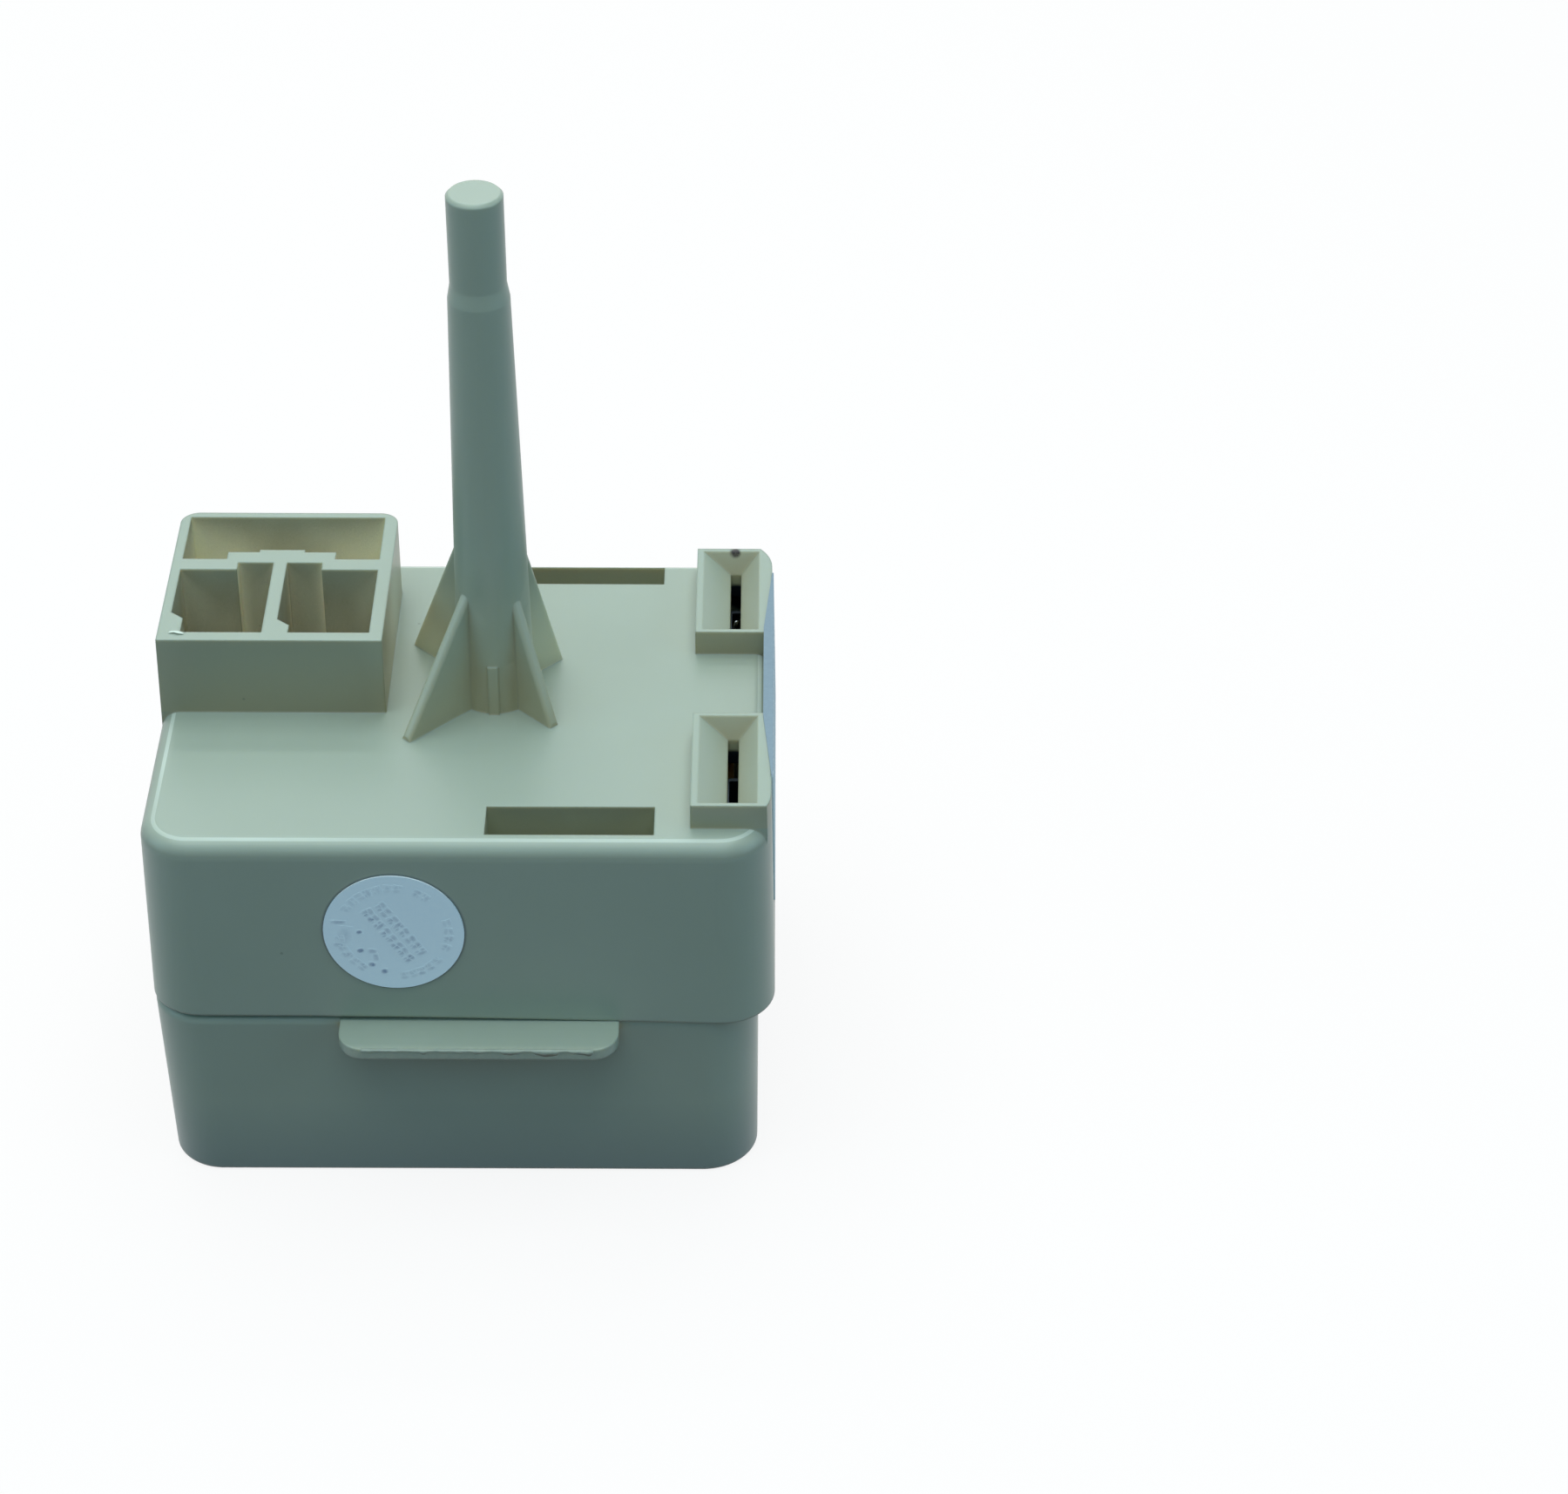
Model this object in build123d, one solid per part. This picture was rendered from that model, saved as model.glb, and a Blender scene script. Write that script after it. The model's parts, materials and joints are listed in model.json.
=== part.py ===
from build123d import *
import math
import os

# A start relay with overload protector that plugs on the three pins of a sealed compressor.
# Millimetres. X runs along the long side, -Y is the side with the lip, +Z is up.
# The origin is the centre of the base, the side that the compressor's pins enter.

# Upper shell
body_length = 59.1
body_width = 48.0
seam_height = 19.65
roof_height = 39.9
wall_draft = 1.0
wall = 1.6
roof = 2.2
left_corner_radius = 5.0
right_corner_radius = 5.3
roof_edge_radius = 1.8
skirt_rise_left = 0.35
skirt_rise_middle = 0.2
skirt_droop_right = 0.6

# Lower shell, stepped in from the upper shell's outline at the seam
ledge_step_left = 0.05
ledge_step_right = 1.65
ledge_step_sides = 0.25
base_step_left = 0.6
base_step_sides = 0.6
seam_gap = 0.2
ledge_edge_radius = 0.8
base_edge_radius = 0.4
floor = 2.0
tongue = 1.3
tongue_height = 3.2
shell_clearance = 0.1
touch_clearance = 0.05

# Lip on the lower shell's front
lip_length = 26.3
lip_centre_x = 1.7
lip_reach = 4.2
lip_thickness = 1.2
lip_corner_radius = 2.5

# Plug shroud on the roof, its left side flush with the wall
shroud_rise = 8.4
shroud_length = 21.85
shroud_width = 22.0
shroud_back_gap = 4.7
shroud_corner_radius = 1.8
shroud_wall_left = 0.95
shroud_wall_right = 1.3
shroud_wall_front = 1.33
shroud_wall_back = 0.8
cell_depth = 16.0
cell_floor = 1.5
rear_cell_width = 7.4
partition = 1.8
partition_step = 1.2
partition_step_length = 10.5
partition_shoulder = 1.15
partition_pad_length = 4.4
partition_pad = 0.4
divider = 1.3
key_width = 1.2
left_key_length = 3.3
right_key_length = 2.2
key_bevel = 1.0

# Bosses with funnels for the capacitor's two blades
boss_rise = 2.65
boss_length = 14.6
boss_wall_left = 0.62
funnel_length = 13.7
funnel_width = 5.58
funnel_depth = 2.2
blade_gate_length = 11.7
blade_gate_width = 1.02
blade_gate_inset = 4.0
blade_gate_shift = 0.45
front_blade_inset = 10.58
back_blade_inset = 9.42

# Slots in the roof, each over a snap hook
slot_length = 15.6
slot_inset = 19.0
front_slot_width = 4.26
front_slot_edge = 1.95
back_slot_width = 3.13
back_slot_edge = 1.12
tunnel_wall = 1.2
tunnel_depth = 7.0

# Snap hooks of the lower shell and the ledges they catch
hook_inset = 2.8
hook_thickness = 1.2
hook_height = 30.0
hook_head = 1.8
hook_barb = 0.55
catch_thickness = 2.0

# Post with four gussets
post_x = 2.65
post_y = 0.97
post_height = 54.2
post_base_radius = 3.78
post_shoulder_radius = 2.86
post_shoulder_height = 43.6
post_shoulder_length = 1.5
post_tip_radius = 2.6
post_tip_edge = 0.3
front_gusset_height = 13.8
back_gusset_height = 19.0
gusset_thickness = 1.1
gusset_toe = 0.4
gusset_edge_radius = 0.4
long_gusset_reach = 11.5
short_gusset_reach = 8.2
nub_width = 1.0
nub_height = 5.4
nub_rise = 0.2

# Rest ribs inside the upper shell
rest_rib_width = 1.5
rest_rib_height = 7.0
rest_rib_offset = 20.0

# Sticker and label
sticker_diameter = 13.1
sticker_thickness = 0.15
sticker_x = -5.87
sticker_z = 30.1
label_length = 33.6
label_centre_y = 0.58
label_bottom = 28.0
label_thickness = 0.15
label_flap = 0.8
label_flap_bevel = 9.5

# Compressor pins and their sockets
pin_circle_radius = 10.3
pin_radius = 1.6
socket_wall = 0.5
socket_length = 9.5
socket_slit = 0.8
pin_hole_radius = 1.9
pin_hole_lead_in = 0.6
well_height = 4.5
well_wall = 1.2
clip_thickness = 0.4
clip_height = 3.0
clip_slit = 1.6

# Sheet metal
tab_width = 6.3
tab_length = 8.0
tab_thickness = 0.8
tab_tip_bevel = 0.9
tab_hole_radius = 0.85
tab_hole_from_tip = 3.6
leg_width = 3.0
strip_thickness = 0.5
bar_height = 3.0
bend_radius = 1.2
bar_bend_radius = 0.8
foot_length = 2.6
front_tab_inset_x = 4.45
front_tab_inset_y = 5.57
rear_tab_inset = 3.3
run_bar_bottom = 24.5
start_bar_bottom = 20.0
start_bar_front_gap = 2.1
bar_spacing = 2.3
start_jog = 4.6

# Sockets for the capacitor's blades
receptacle_length = 8.0
receptacle_half_width = 3.6
receptacle_thickness = 0.4
receptacle_curl = 2.3
receptacle_top_gap = 0.3
capacitor_blade = 0.8

# Thermistor disc and its springs
ptc_radius = 8.5
ptc_thickness = 2.6
ptc_pin_offset = 4.07
ptc_bottom = 4.0
ptc_edge_bevel = 0.3
spring_gap = 1.9
spring_thickness = 0.3
spring_length = 13.0
spring_height = 11.0
spring_crest = 1.4
spring_slope = 2.2
saddle_height = 4.5
saddle_length = 15.0
contact_plate_length = 13.5
barrier_thickness = 0.5
barrier_gap = 1.4
barrier_height = 17.0
barrier_length = 17.0
barrier_rail = 1.2

# Overload protector
overload_side_gap = 0.65
overload_back_gap = 3.5
case_radius = 8.3
case_wall = 1.0
case_floor = 1.5
case_height = 8.0
cover_thickness = 1.5
nest_wall = 1.2
nest_height = 2.5
contact_offset = 4.6
contact_radius = 1.5
contact_thickness = 0.8
contact_shank_radius = 0.9
contact_head = 0.5
disc_radius = 6.2
disc_thickness = 0.3
disc_dish = 0.3
disc_hub_radius = 2.2
disc_dish_radius = 3.0
screw_radius = 1.0
screw_head_radius = 1.9
screw_head = 1.2
screw_collar_radius = 1.8
screw_collar = 0.5
screw_end_radius = 1.5
heater_wire_radius = 0.35
heater_radius = 6.8
heater_height = 3.0
heater_stub = 0.8
link_width = 3.6

# Places that follow from the sizes above
half_length = body_length / 2
half_width = body_width / 2
cavity_half_length = half_length - wall - shell_clearance - tongue
cavity_half_width = half_width - wall - shell_clearance - tongue
ledge_height = seam_height - seam_gap
tongue_top = ledge_height + tongue_height
roof_inside = roof_height - roof
shroud_top = roof_height + shroud_rise
boss_top = roof_height + boss_rise
base_right_x = half_length - ledge_step_right
skirt_low = seam_height - skirt_droop_right


def wall_lean(height):
    """How far the drafted wall has leaned in at a height above the seam."""
    return (height - seam_height) * math.tan(math.radians(wall_draft))


shroud_right_x = shroud_length - half_length
shroud_back_y = half_width - shroud_back_gap
shroud_front_y = shroud_back_y - shroud_width
cell_left_x = wall_lean(shroud_top) - half_length + shroud_wall_left
cell_right_x = shroud_right_x - shroud_wall_right
cell_front_y = shroud_front_y + shroud_wall_front
cell_back_y = shroud_back_y - shroud_wall_back
cell_middle_x = (cell_left_x + cell_right_x) / 2
partition_back_y = cell_back_y - rear_cell_width
partition_front_y = partition_back_y - partition
cell_bottom = shroud_top - cell_depth
line_tab_x = cell_left_x + front_tab_inset_x
start_tab_x = cell_right_x - front_tab_inset_x
neutral_tab_x = cell_middle_x
front_tab_y = cell_front_y + front_tab_inset_y
neutral_tab_y = cell_back_y - rear_tab_inset
start_jog_y = front_tab_y - start_jog
blade_gate_x = half_length - blade_gate_inset
funnel_x = blade_gate_x - blade_gate_shift
slot_centre_x = half_length - slot_inset
front_blade_y = front_blade_inset - half_width
back_blade_y = half_width - back_blade_inset
front_slot_y = wall_lean(roof_height) - half_width + front_slot_edge + front_slot_width / 2
back_slot_y = half_width - wall_lean(roof_height) - back_slot_edge - back_slot_width / 2
slot_bottom = roof_height - tunnel_depth

socket_radius = pin_radius + socket_wall
socket_top = floor + socket_length
well_radius = socket_radius + shell_clearance
pin_places = {
    "common": (post_x, post_y + pin_circle_radius),
    "start": (
        post_x - pin_circle_radius * math.cos(math.radians(30)),
        post_y - pin_circle_radius * math.sin(math.radians(30)),
    ),
    "run": (
        post_x + pin_circle_radius * math.cos(math.radians(30)),
        post_y - pin_circle_radius * math.sin(math.radians(30)),
    ),
}
run_x, run_y = pin_places["run"]
start_x, start_y = pin_places["start"]
common_x, common_y = pin_places["common"]

receptacle_x = blade_gate_x - capacitor_blade / 2 - receptacle_thickness / 2
receptacle_top = roof_inside - receptacle_top_gap
receptacle_bottom = receptacle_top - receptacle_length

start_bar_front_y = start_bar_front_gap - cavity_half_width
run_bar_front_y = start_bar_front_y + bar_spacing
overload_x = overload_side_gap + case_radius - cavity_half_length
overload_y = cavity_half_width - case_radius - overload_back_gap
ptc_centre_y = run_y - ptc_pin_offset

start_plate_face_x = receptacle_x - tab_thickness / 2
ptc_right_x = start_plate_face_x - spring_gap
ptc_left_x = ptc_right_x - ptc_thickness
run_plate_face_x = ptc_left_x - spring_gap
ptc_centre_z = ptc_bottom + ptc_radius
saddle_top = floor + saddle_height
barrier_x = run_plate_face_x - strip_thickness - barrier_gap - barrier_thickness / 2

cover_bottom = floor + case_height
cover_top = cover_bottom + cover_thickness
disc_ring_top = cover_bottom - 2 * contact_thickness
disc_hub_bottom = disc_ring_top - disc_dish - disc_thickness


def box_between(x_low, x_high, y_low, y_high, z_low, z_high):
    """A block given by its faces."""
    middle = Pos((x_low + x_high) / 2, (y_low + y_high) / 2, (z_low + z_high) / 2)
    return middle * Box(x_high - x_low, y_high - y_low, z_high - z_low)


def plan_rectangle(x_low, x_high, y_low, y_high):
    """A rectangle in plan given by its sides."""
    middle = Pos((x_low + x_high) / 2, (y_low + y_high) / 2)
    return middle * Rectangle(x_high - x_low, y_high - y_low)


def shell_outline(left, right, side, inset=0.0):
    """The shells' plan outline, with its own corner radius on the left and on the right."""
    outline = plan_rectangle(inset - left, right - inset, inset - side, side - inset)
    left_corners = outline.vertices().group_by(Axis.X)[0]
    outline = fillet(left_corners, left_corner_radius - inset)
    right_corners = outline.vertices().group_by(Axis.X)[-1]
    return fillet(right_corners, right_corner_radius - inset)


def upper_envelope(height, inset=0.0):
    """The upper shell's drafted outside, or its inside with an inset, from its lowest edge up."""
    outline = shell_outline(half_length, half_length, half_width, inset + wall_lean(skirt_low))
    return extrude(Pos(0, 0, skirt_low) * outline, height - skirt_low, taper=wall_draft)


def skirt_line(lift=0.0):
    """The skirt's lower edge seen from the front: a warped arc, high on the left and low on the right."""
    return ThreePointArc(
        (-half_length, seam_height + skirt_rise_left + lift),
        (0, seam_height + skirt_rise_middle + lift),
        (half_length, skirt_low + lift),
    )


def beyond_skirt_line(end_height, lift=0.0):
    """All the room between the skirt's edge line and a height below or above it."""
    line = skirt_line(lift)
    reach = 2 * body_length
    left, right = line @ 0, line @ 1
    border = Polyline(
        (right.X, right.Y), (reach, right.Y), (reach, end_height),
        (-reach, end_height), (-reach, left.Y), (left.X, left.Y),
    )
    return extrude(Plane.XZ * make_face(line + border), body_width, both=True)


def hollow_upper_body():
    """The drafted shell with its rounded roof edge, open at the seam."""
    body = upper_envelope(roof_height)
    body = fillet(body.faces().sort_by(Axis.Z)[-1].edges(), roof_edge_radius)
    body -= beyond_skirt_line(0)
    return body - upper_envelope(roof_inside, wall)


def shroud_block():
    """The shroud's outside, flush with the drafted left wall, its back corners rounded."""
    block = box_between(
        -body_length, shroud_right_x, shroud_front_y, shroud_back_y, cell_bottom - cell_floor, shroud_top
    )
    block = block & upper_envelope(shroud_top)
    upright = block.edges().filter_by(lambda edge: abs(edge.tangent_at(0.5).Z) > 0.99)
    back_edges = upright.group_by(Axis.Y)[-1]
    return fillet(back_edges, shroud_corner_radius)


def front_cells():
    """Plan of the two front cells, with the partition's niche, the divider and the keys."""
    cells = plan_rectangle(cell_left_x, cell_right_x, cell_front_y, partition_front_y)
    niche_half = partition_step_length / 2 - partition_shoulder
    cells += plan_rectangle(
        cell_middle_x - niche_half, cell_middle_x + niche_half,
        cell_front_y, partition_front_y + partition_step,
    )
    cells -= plan_rectangle(
        cell_middle_x - divider / 2, cell_middle_x + divider / 2,
        cell_front_y, partition_back_y,
    )
    for side_x, key_length in ((cell_left_x, left_key_length), (cell_middle_x + divider / 2, right_key_length)):
        key = Polyline(
            (side_x, cell_front_y),
            (side_x + key_width, cell_front_y),
            (side_x + key_width, cell_front_y + key_length - key_bevel),
            (side_x, cell_front_y + key_length),
            close=True,
        )
        cells -= make_face(key)
    return cells


def rear_cell():
    """Plan of the long rear cell, narrowed in the middle by the partition's step and pad."""
    cell = plan_rectangle(cell_left_x, cell_right_x, partition_back_y, cell_back_y)
    step_half = partition_step_length / 2
    cell -= plan_rectangle(
        cell_middle_x - step_half, cell_middle_x + step_half,
        partition_back_y, partition_back_y + partition_step,
    )
    pad_half = partition_pad_length / 2
    pad_y = partition_back_y + partition_step + partition_pad
    cell -= plan_rectangle(cell_middle_x - pad_half, cell_middle_x + pad_half, partition_back_y, pad_y)
    return cell


def shroud_cells():
    """The three cells, cut down from the rim."""
    return extrude(Pos(0, 0, cell_bottom) * (front_cells() + rear_cell()), cell_depth)


def tab_gates():
    """Slits in the cells' floor for the three tabs."""
    half_wide = tab_width / 2 + touch_clearance
    half_thick = tab_thickness / 2 + touch_clearance
    low = cell_bottom - cell_floor
    gates = box_between(
        neutral_tab_x - half_wide, neutral_tab_x + half_wide,
        neutral_tab_y - half_thick, neutral_tab_y + half_thick, low, cell_bottom,
    )
    for tab_x in (line_tab_x, start_tab_x):
        gates += box_between(
            tab_x - half_thick, tab_x + half_thick,
            front_tab_y - half_wide, front_tab_y + half_wide, low, cell_bottom,
        )
    return gates


def blade_boss(centre_y):
    """A raised block round one blade gate, flush with the drafted right wall."""
    left_x = funnel_x - funnel_width / 2 - boss_wall_left
    half = boss_length / 2
    block = box_between(left_x, body_length, centre_y - half, centre_y + half, roof_inside, boss_top)
    return block & upper_envelope(boss_top)


def blade_funnel(centre_y):
    """The funnel and the narrow gate that guide a capacitor blade through the roof."""
    mouth = Pos(funnel_x, centre_y, boss_top) * Rectangle(funnel_width, funnel_length)
    throat_z = boss_top - funnel_depth
    throat = Pos(blade_gate_x, centre_y, throat_z) * Rectangle(blade_gate_width, blade_gate_length)
    gate = extrude(throat, roof_inside - throat_z)
    return loft([throat, mouth]) + gate


def slot_tunnel(centre_y, width):
    """Walls that line a roof slot below the roof."""
    half_x = slot_length / 2 + tunnel_wall
    half_y = width / 2 + tunnel_wall
    block = box_between(
        slot_centre_x - half_x, slot_centre_x + half_x,
        centre_y - half_y, centre_y + half_y, slot_bottom, roof_inside,
    )
    return block & upper_envelope(roof_height)


def slot_cut(centre_y, width):
    """The slot itself, through roof and tunnel."""
    return Pos(slot_centre_x, centre_y, (slot_bottom + roof_height) / 2) * Box(
        slot_length, width, tunnel_depth
    )


def hook_catch(side):
    """Ledge on a long wall that a snap hook catches, for side -1 in front or +1 behind."""
    inner_y = cavity_half_width + touch_clearance * 2
    block = box_between(
        slot_centre_x - slot_length / 2, slot_centre_x + slot_length / 2,
        inner_y, half_width, hook_height - touch_clearance - catch_thickness, hook_height - touch_clearance,
    )
    if side < 0:
        block = mirror(block, about=Plane.XZ)
    return block & upper_envelope(roof_height, wall / 2)


def post():
    """The tapered post with its shoulder near the tip."""
    shoulder_z = roof_height + post_shoulder_height
    tip_z = roof_height + post_height
    profile = Polyline(
        (0, roof_inside),
        (post_base_radius, roof_inside),
        (post_base_radius, roof_height),
        (post_shoulder_radius, shoulder_z),
        (post_tip_radius, shoulder_z + post_shoulder_length),
        (post_tip_radius, tip_z - post_tip_edge),
        (post_tip_radius - post_tip_edge, tip_z),
        (0, tip_z),
        close=True,
    )
    turned = revolve(Plane.XZ * make_face(profile), Axis.Z)
    return Pos(post_x, post_y, 0) * turned


def gusset(angle, reach, height):
    """One triangular web between post and roof."""
    profile = Polyline(
        (0, roof_inside),
        (reach, roof_inside),
        (reach, roof_height + gusset_toe),
        (post_shoulder_radius, roof_height + height),
        (0, roof_height + height),
        close=True,
    )
    web = extrude(Plane.XZ * make_face(profile), gusset_thickness / 2, both=True)
    slanted = web.edges().filter_by(lambda edge: 0.1 < abs(edge.tangent_at(0.5).Z) < 0.99)
    web = fillet(slanted, gusset_edge_radius)
    return Pos(post_x, post_y, 0) * Rot(0, 0, angle) * web


def post_nub():
    """The small upright rib at the foot of the post's front, which runs out into the post."""
    foot_y = post_y - post_base_radius - nub_rise
    top_y = post_y - post_base_radius
    profile = Polyline(
        (post_y, roof_inside),
        (foot_y, roof_inside),
        (foot_y, roof_height),
        (top_y, roof_height + nub_height),
        (post_y, roof_height + nub_height),
        close=True,
    )
    return Pos(post_x, 0, 0) * extrude(Plane.YZ * make_face(profile), nub_width / 2, both=True)


def rest_ribs():
    """Short ribs inside the walls that sit on the lower shell's tongue."""
    ribs = []
    inner_y = cavity_half_width + touch_clearance
    inner_x = cavity_half_length + touch_clearance
    high = tongue_top + rest_rib_height
    half = rest_rib_width / 2
    for rib_x in (-rest_rib_offset, rest_rib_offset + rest_rib_width):
        for y_low, y_high in ((-half_width, -inner_y), (inner_y, half_width)):
            ribs.append(box_between(rib_x - half, rib_x + half, y_low, y_high, tongue_top, high))
    for x_low, x_high in ((-half_length, -inner_x), (inner_x, half_length)):
        ribs.append(box_between(x_low, x_high, -half, half, tongue_top, high))
    return [rib & upper_envelope(roof_height, wall / 2) for rib in ribs]


def ptc_keeper():
    """A rib from the roof that keeps the thermistor disc down."""
    half = ptc_thickness / 2 - 2 * touch_clearance
    middle_x = (ptc_left_x + ptc_right_x) / 2
    low = ptc_bottom + 2 * ptc_radius + touch_clearance
    return box_between(
        middle_x - half, middle_x + half, ptc_centre_y - half, ptc_centre_y + half, low, roof_inside
    )


def upper_housing():
    """The moulded upper shell with shroud, bosses, slots, post and gussets."""
    shell = hollow_upper_body() + shroud_block() + post() + post_nub() + ptc_keeper()
    for angle, reach, height in (
        (45, short_gusset_reach, back_gusset_height),
        (315, short_gusset_reach, front_gusset_height),
        (135, long_gusset_reach, back_gusset_height),
        (225, long_gusset_reach, front_gusset_height),
    ):
        shell += gusset(angle, reach, height)
    for centre_y in (front_blade_y, back_blade_y):
        shell += blade_boss(centre_y)
    slots = ((front_slot_y, front_slot_width), (back_slot_y, back_slot_width))
    for centre_y, width in slots:
        shell += slot_tunnel(centre_y, width)
    for side in (-1, 1):
        shell += hook_catch(side)
    for rib in rest_ribs():
        shell += rib
    shell -= shroud_cells() + tab_gates()
    for centre_y in (front_blade_y, back_blade_y):
        shell -= blade_funnel(centre_y)
    for centre_y, width in slots:
        shell -= slot_cut(centre_y, width)
    return shell


def tray_outside():
    """The lower shell's outside, whose left wall leans in towards the base."""
    base = shell_outline(
        half_length - base_step_left, base_right_x, half_width - base_step_sides
    )
    ledge = shell_outline(
        half_length - ledge_step_left, base_right_x, half_width - ledge_step_sides
    )
    tray = loft([base, Pos(0, 0, ledge_height) * ledge], ruled=True)
    tray = fillet(tray.faces().sort_by(Axis.Z)[-1].edges(), ledge_edge_radius)
    tray = fillet(tray.faces().sort_by(Axis.Z)[0].edges(), base_edge_radius)
    return tray - beyond_skirt_line(roof_height, -touch_clearance)


def tray_cavity():
    """The room inside the lower shell and its tongue."""
    inset = wall + shell_clearance + tongue
    outline = shell_outline(half_length, half_length, half_width, inset)
    return extrude(Pos(0, 0, floor) * outline, tongue_top - floor)


def tray_tongue():
    """The tongue that rises inside the upper shell."""
    outline = shell_outline(half_length, half_length, half_width, wall + shell_clearance)
    low = ledge_height - ledge_edge_radius - tongue
    tongue_block = extrude(Pos(0, 0, low) * outline, tongue_top - low, taper=wall_draft)
    return tongue_block


def lip():
    """The flat lip at the seam, its front corners rounded."""
    front_y = -half_width - lip_reach
    inner_y = -half_width + ledge_step_sides + ledge_edge_radius
    outline = plan_rectangle(
        lip_centre_x - lip_length / 2, lip_centre_x + lip_length / 2, front_y, inner_y
    )
    outline = fillet(outline.vertices().group_by(Axis.Y)[0], lip_corner_radius)
    plate = extrude(Pos(0, 0, ledge_height - lip_thickness) * outline, lip_thickness)
    return plate - beyond_skirt_line(roof_height, -touch_clearance)


def snap_hook(side):
    """A springy arm with a barb, for side -1 in front or +1 behind."""
    half = slot_length / 2 - hook_inset
    face_y = cavity_half_width
    profile = Polyline(
        (face_y - hook_thickness, floor),
        (face_y, floor),
        (face_y, hook_height),
        (face_y + hook_barb, hook_height),
        (face_y, hook_height + hook_head),
        (face_y - hook_thickness, hook_height + hook_head),
        close=True,
    )
    arm = extrude(Plane.YZ * make_face(profile), half, both=True)
    arm = Pos(slot_centre_x, 0, 0) * arm
    if side < 0:
        arm = mirror(arm, about=Plane.XZ)
    return arm


def pin_well(place):
    """A round well that holds a pin socket upright."""
    well = Cylinder(well_radius + well_wall, well_height, align=(Align.CENTER, Align.CENTER, Align.MIN))
    return Pos(*place, floor) * well


def pin_passage(place):
    """The way in for one compressor pin: lead-in, hole and the socket's seat."""
    bottom = (Align.CENTER, Align.CENTER, Align.MIN)
    hole = Cylinder(pin_hole_radius, floor, align=bottom)
    lead_in = Cone(
        pin_hole_radius + pin_hole_lead_in, pin_hole_radius, pin_hole_lead_in, align=bottom
    )
    seat = Pos(0, 0, floor) * Cylinder(well_radius, well_height, align=bottom)
    return Pos(*place, 0) * (hole + lead_in + seat)


def overload_nest():
    """Low ring that locates the overload protector."""
    inner = case_radius + shell_clearance
    bottom = (Align.CENTER, Align.CENTER, Align.MIN)
    ring = Cylinder(inner + nest_wall, nest_height, align=bottom) - Cylinder(inner, nest_height, align=bottom)
    return Pos(overload_x, overload_y, floor) * ring


def ptc_saddle():
    """Block that cradles the disc and carries the springs and the run plate."""
    half = saddle_length / 2
    block = box_between(
        run_plate_face_x - strip_thickness, start_plate_face_x + tab_thickness,
        ptc_centre_y - half, ptc_centre_y + half, floor, saddle_top,
    )
    middle_x = (ptc_left_x + ptc_right_x) / 2
    groove = Pos(middle_x, ptc_centre_y, ptc_centre_z) * Rot(0, 90, 0) * Cylinder(
        ptc_radius + touch_clearance, ptc_thickness + 2 * touch_clearance
    )
    return block - groove


def barrier_rails():
    """Two grooved posts that hold the barrier's ends."""
    half_span = barrier_length / 2
    rails = []
    for end in (-1, 1):
        end_y = ptc_centre_y + end * half_span
        inner_y = end_y - end * barrier_rail
        outer_y = end_y + end * barrier_rail
        post_block = box_between(
            barrier_x - barrier_thickness / 2 - barrier_rail, barrier_x + barrier_thickness / 2 + barrier_rail,
            min(inner_y, outer_y), max(inner_y, outer_y), floor, floor + barrier_height,
        )
        slot_low = min(inner_y, end_y + end * touch_clearance)
        slot_high = max(inner_y, end_y + end * touch_clearance)
        groove_half = barrier_thickness / 2 + touch_clearance
        groove = box_between(
            barrier_x - groove_half, barrier_x + groove_half, slot_low, slot_high,
            floor, floor + barrier_height,
        )
        rails.append(post_block - groove)
    return rails


def lower_housing():
    """The moulded tray with tongue, lip, hooks, wells and nests."""
    shell = tray_outside() + tray_tongue() - tray_cavity()
    shell += lip()
    for side in (-1, 1):
        shell += snap_hook(side)
    for place in pin_places.values():
        shell += pin_well(place)
    shell += overload_nest() + ptc_saddle()
    for rail in barrier_rails():
        shell += rail
    for place in pin_places.values():
        shell -= pin_passage(place)
    screw_hole = Cylinder(screw_head_radius + shell_clearance, floor, align=(Align.CENTER, Align.CENTER, Align.MIN))
    return shell - Pos(overload_x, overload_y, 0) * screw_hole


def round_sticker():
    """A thin round sticker on the drafted front wall."""
    face_y = wall_lean(sticker_z) - half_width
    disc = Cylinder(sticker_diameter / 2, sticker_thickness, align=(Align.CENTER, Align.CENTER, Align.MIN))
    return Pos(sticker_x, face_y, sticker_z) * Rot(90 - wall_draft, 0, 0) * disc


def side_label():
    """A thin label on the drafted right wall, folded over onto the bosses' tops."""
    low_x = half_length - wall_lean(label_bottom)
    top_x = half_length - wall_lean(boss_top)
    profile = Polyline(
        (low_x, label_bottom),
        (low_x + label_thickness, label_bottom),
        (top_x + label_thickness, boss_top + label_thickness),
        (top_x - label_flap, boss_top + label_thickness),
        (top_x - label_flap, boss_top),
        (top_x, boss_top),
        close=True,
    )
    sheet = extrude(Plane.XZ * make_face(profile), label_length / 2, both=True)
    half = label_length / 2
    outline = Polyline(
        (low_x + label_thickness, -half),
        (top_x, -half),
        (top_x - label_flap, label_flap_bevel - half),
        (top_x - label_flap, half - label_flap_bevel),
        (top_x, half),
        (low_x + label_thickness, half),
        close=True,
    )
    cut = extrude(Pos(0, 0, label_bottom) * make_face(outline), boss_top)
    return Pos(0, label_centre_y, 0) * (sheet & cut)


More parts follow.
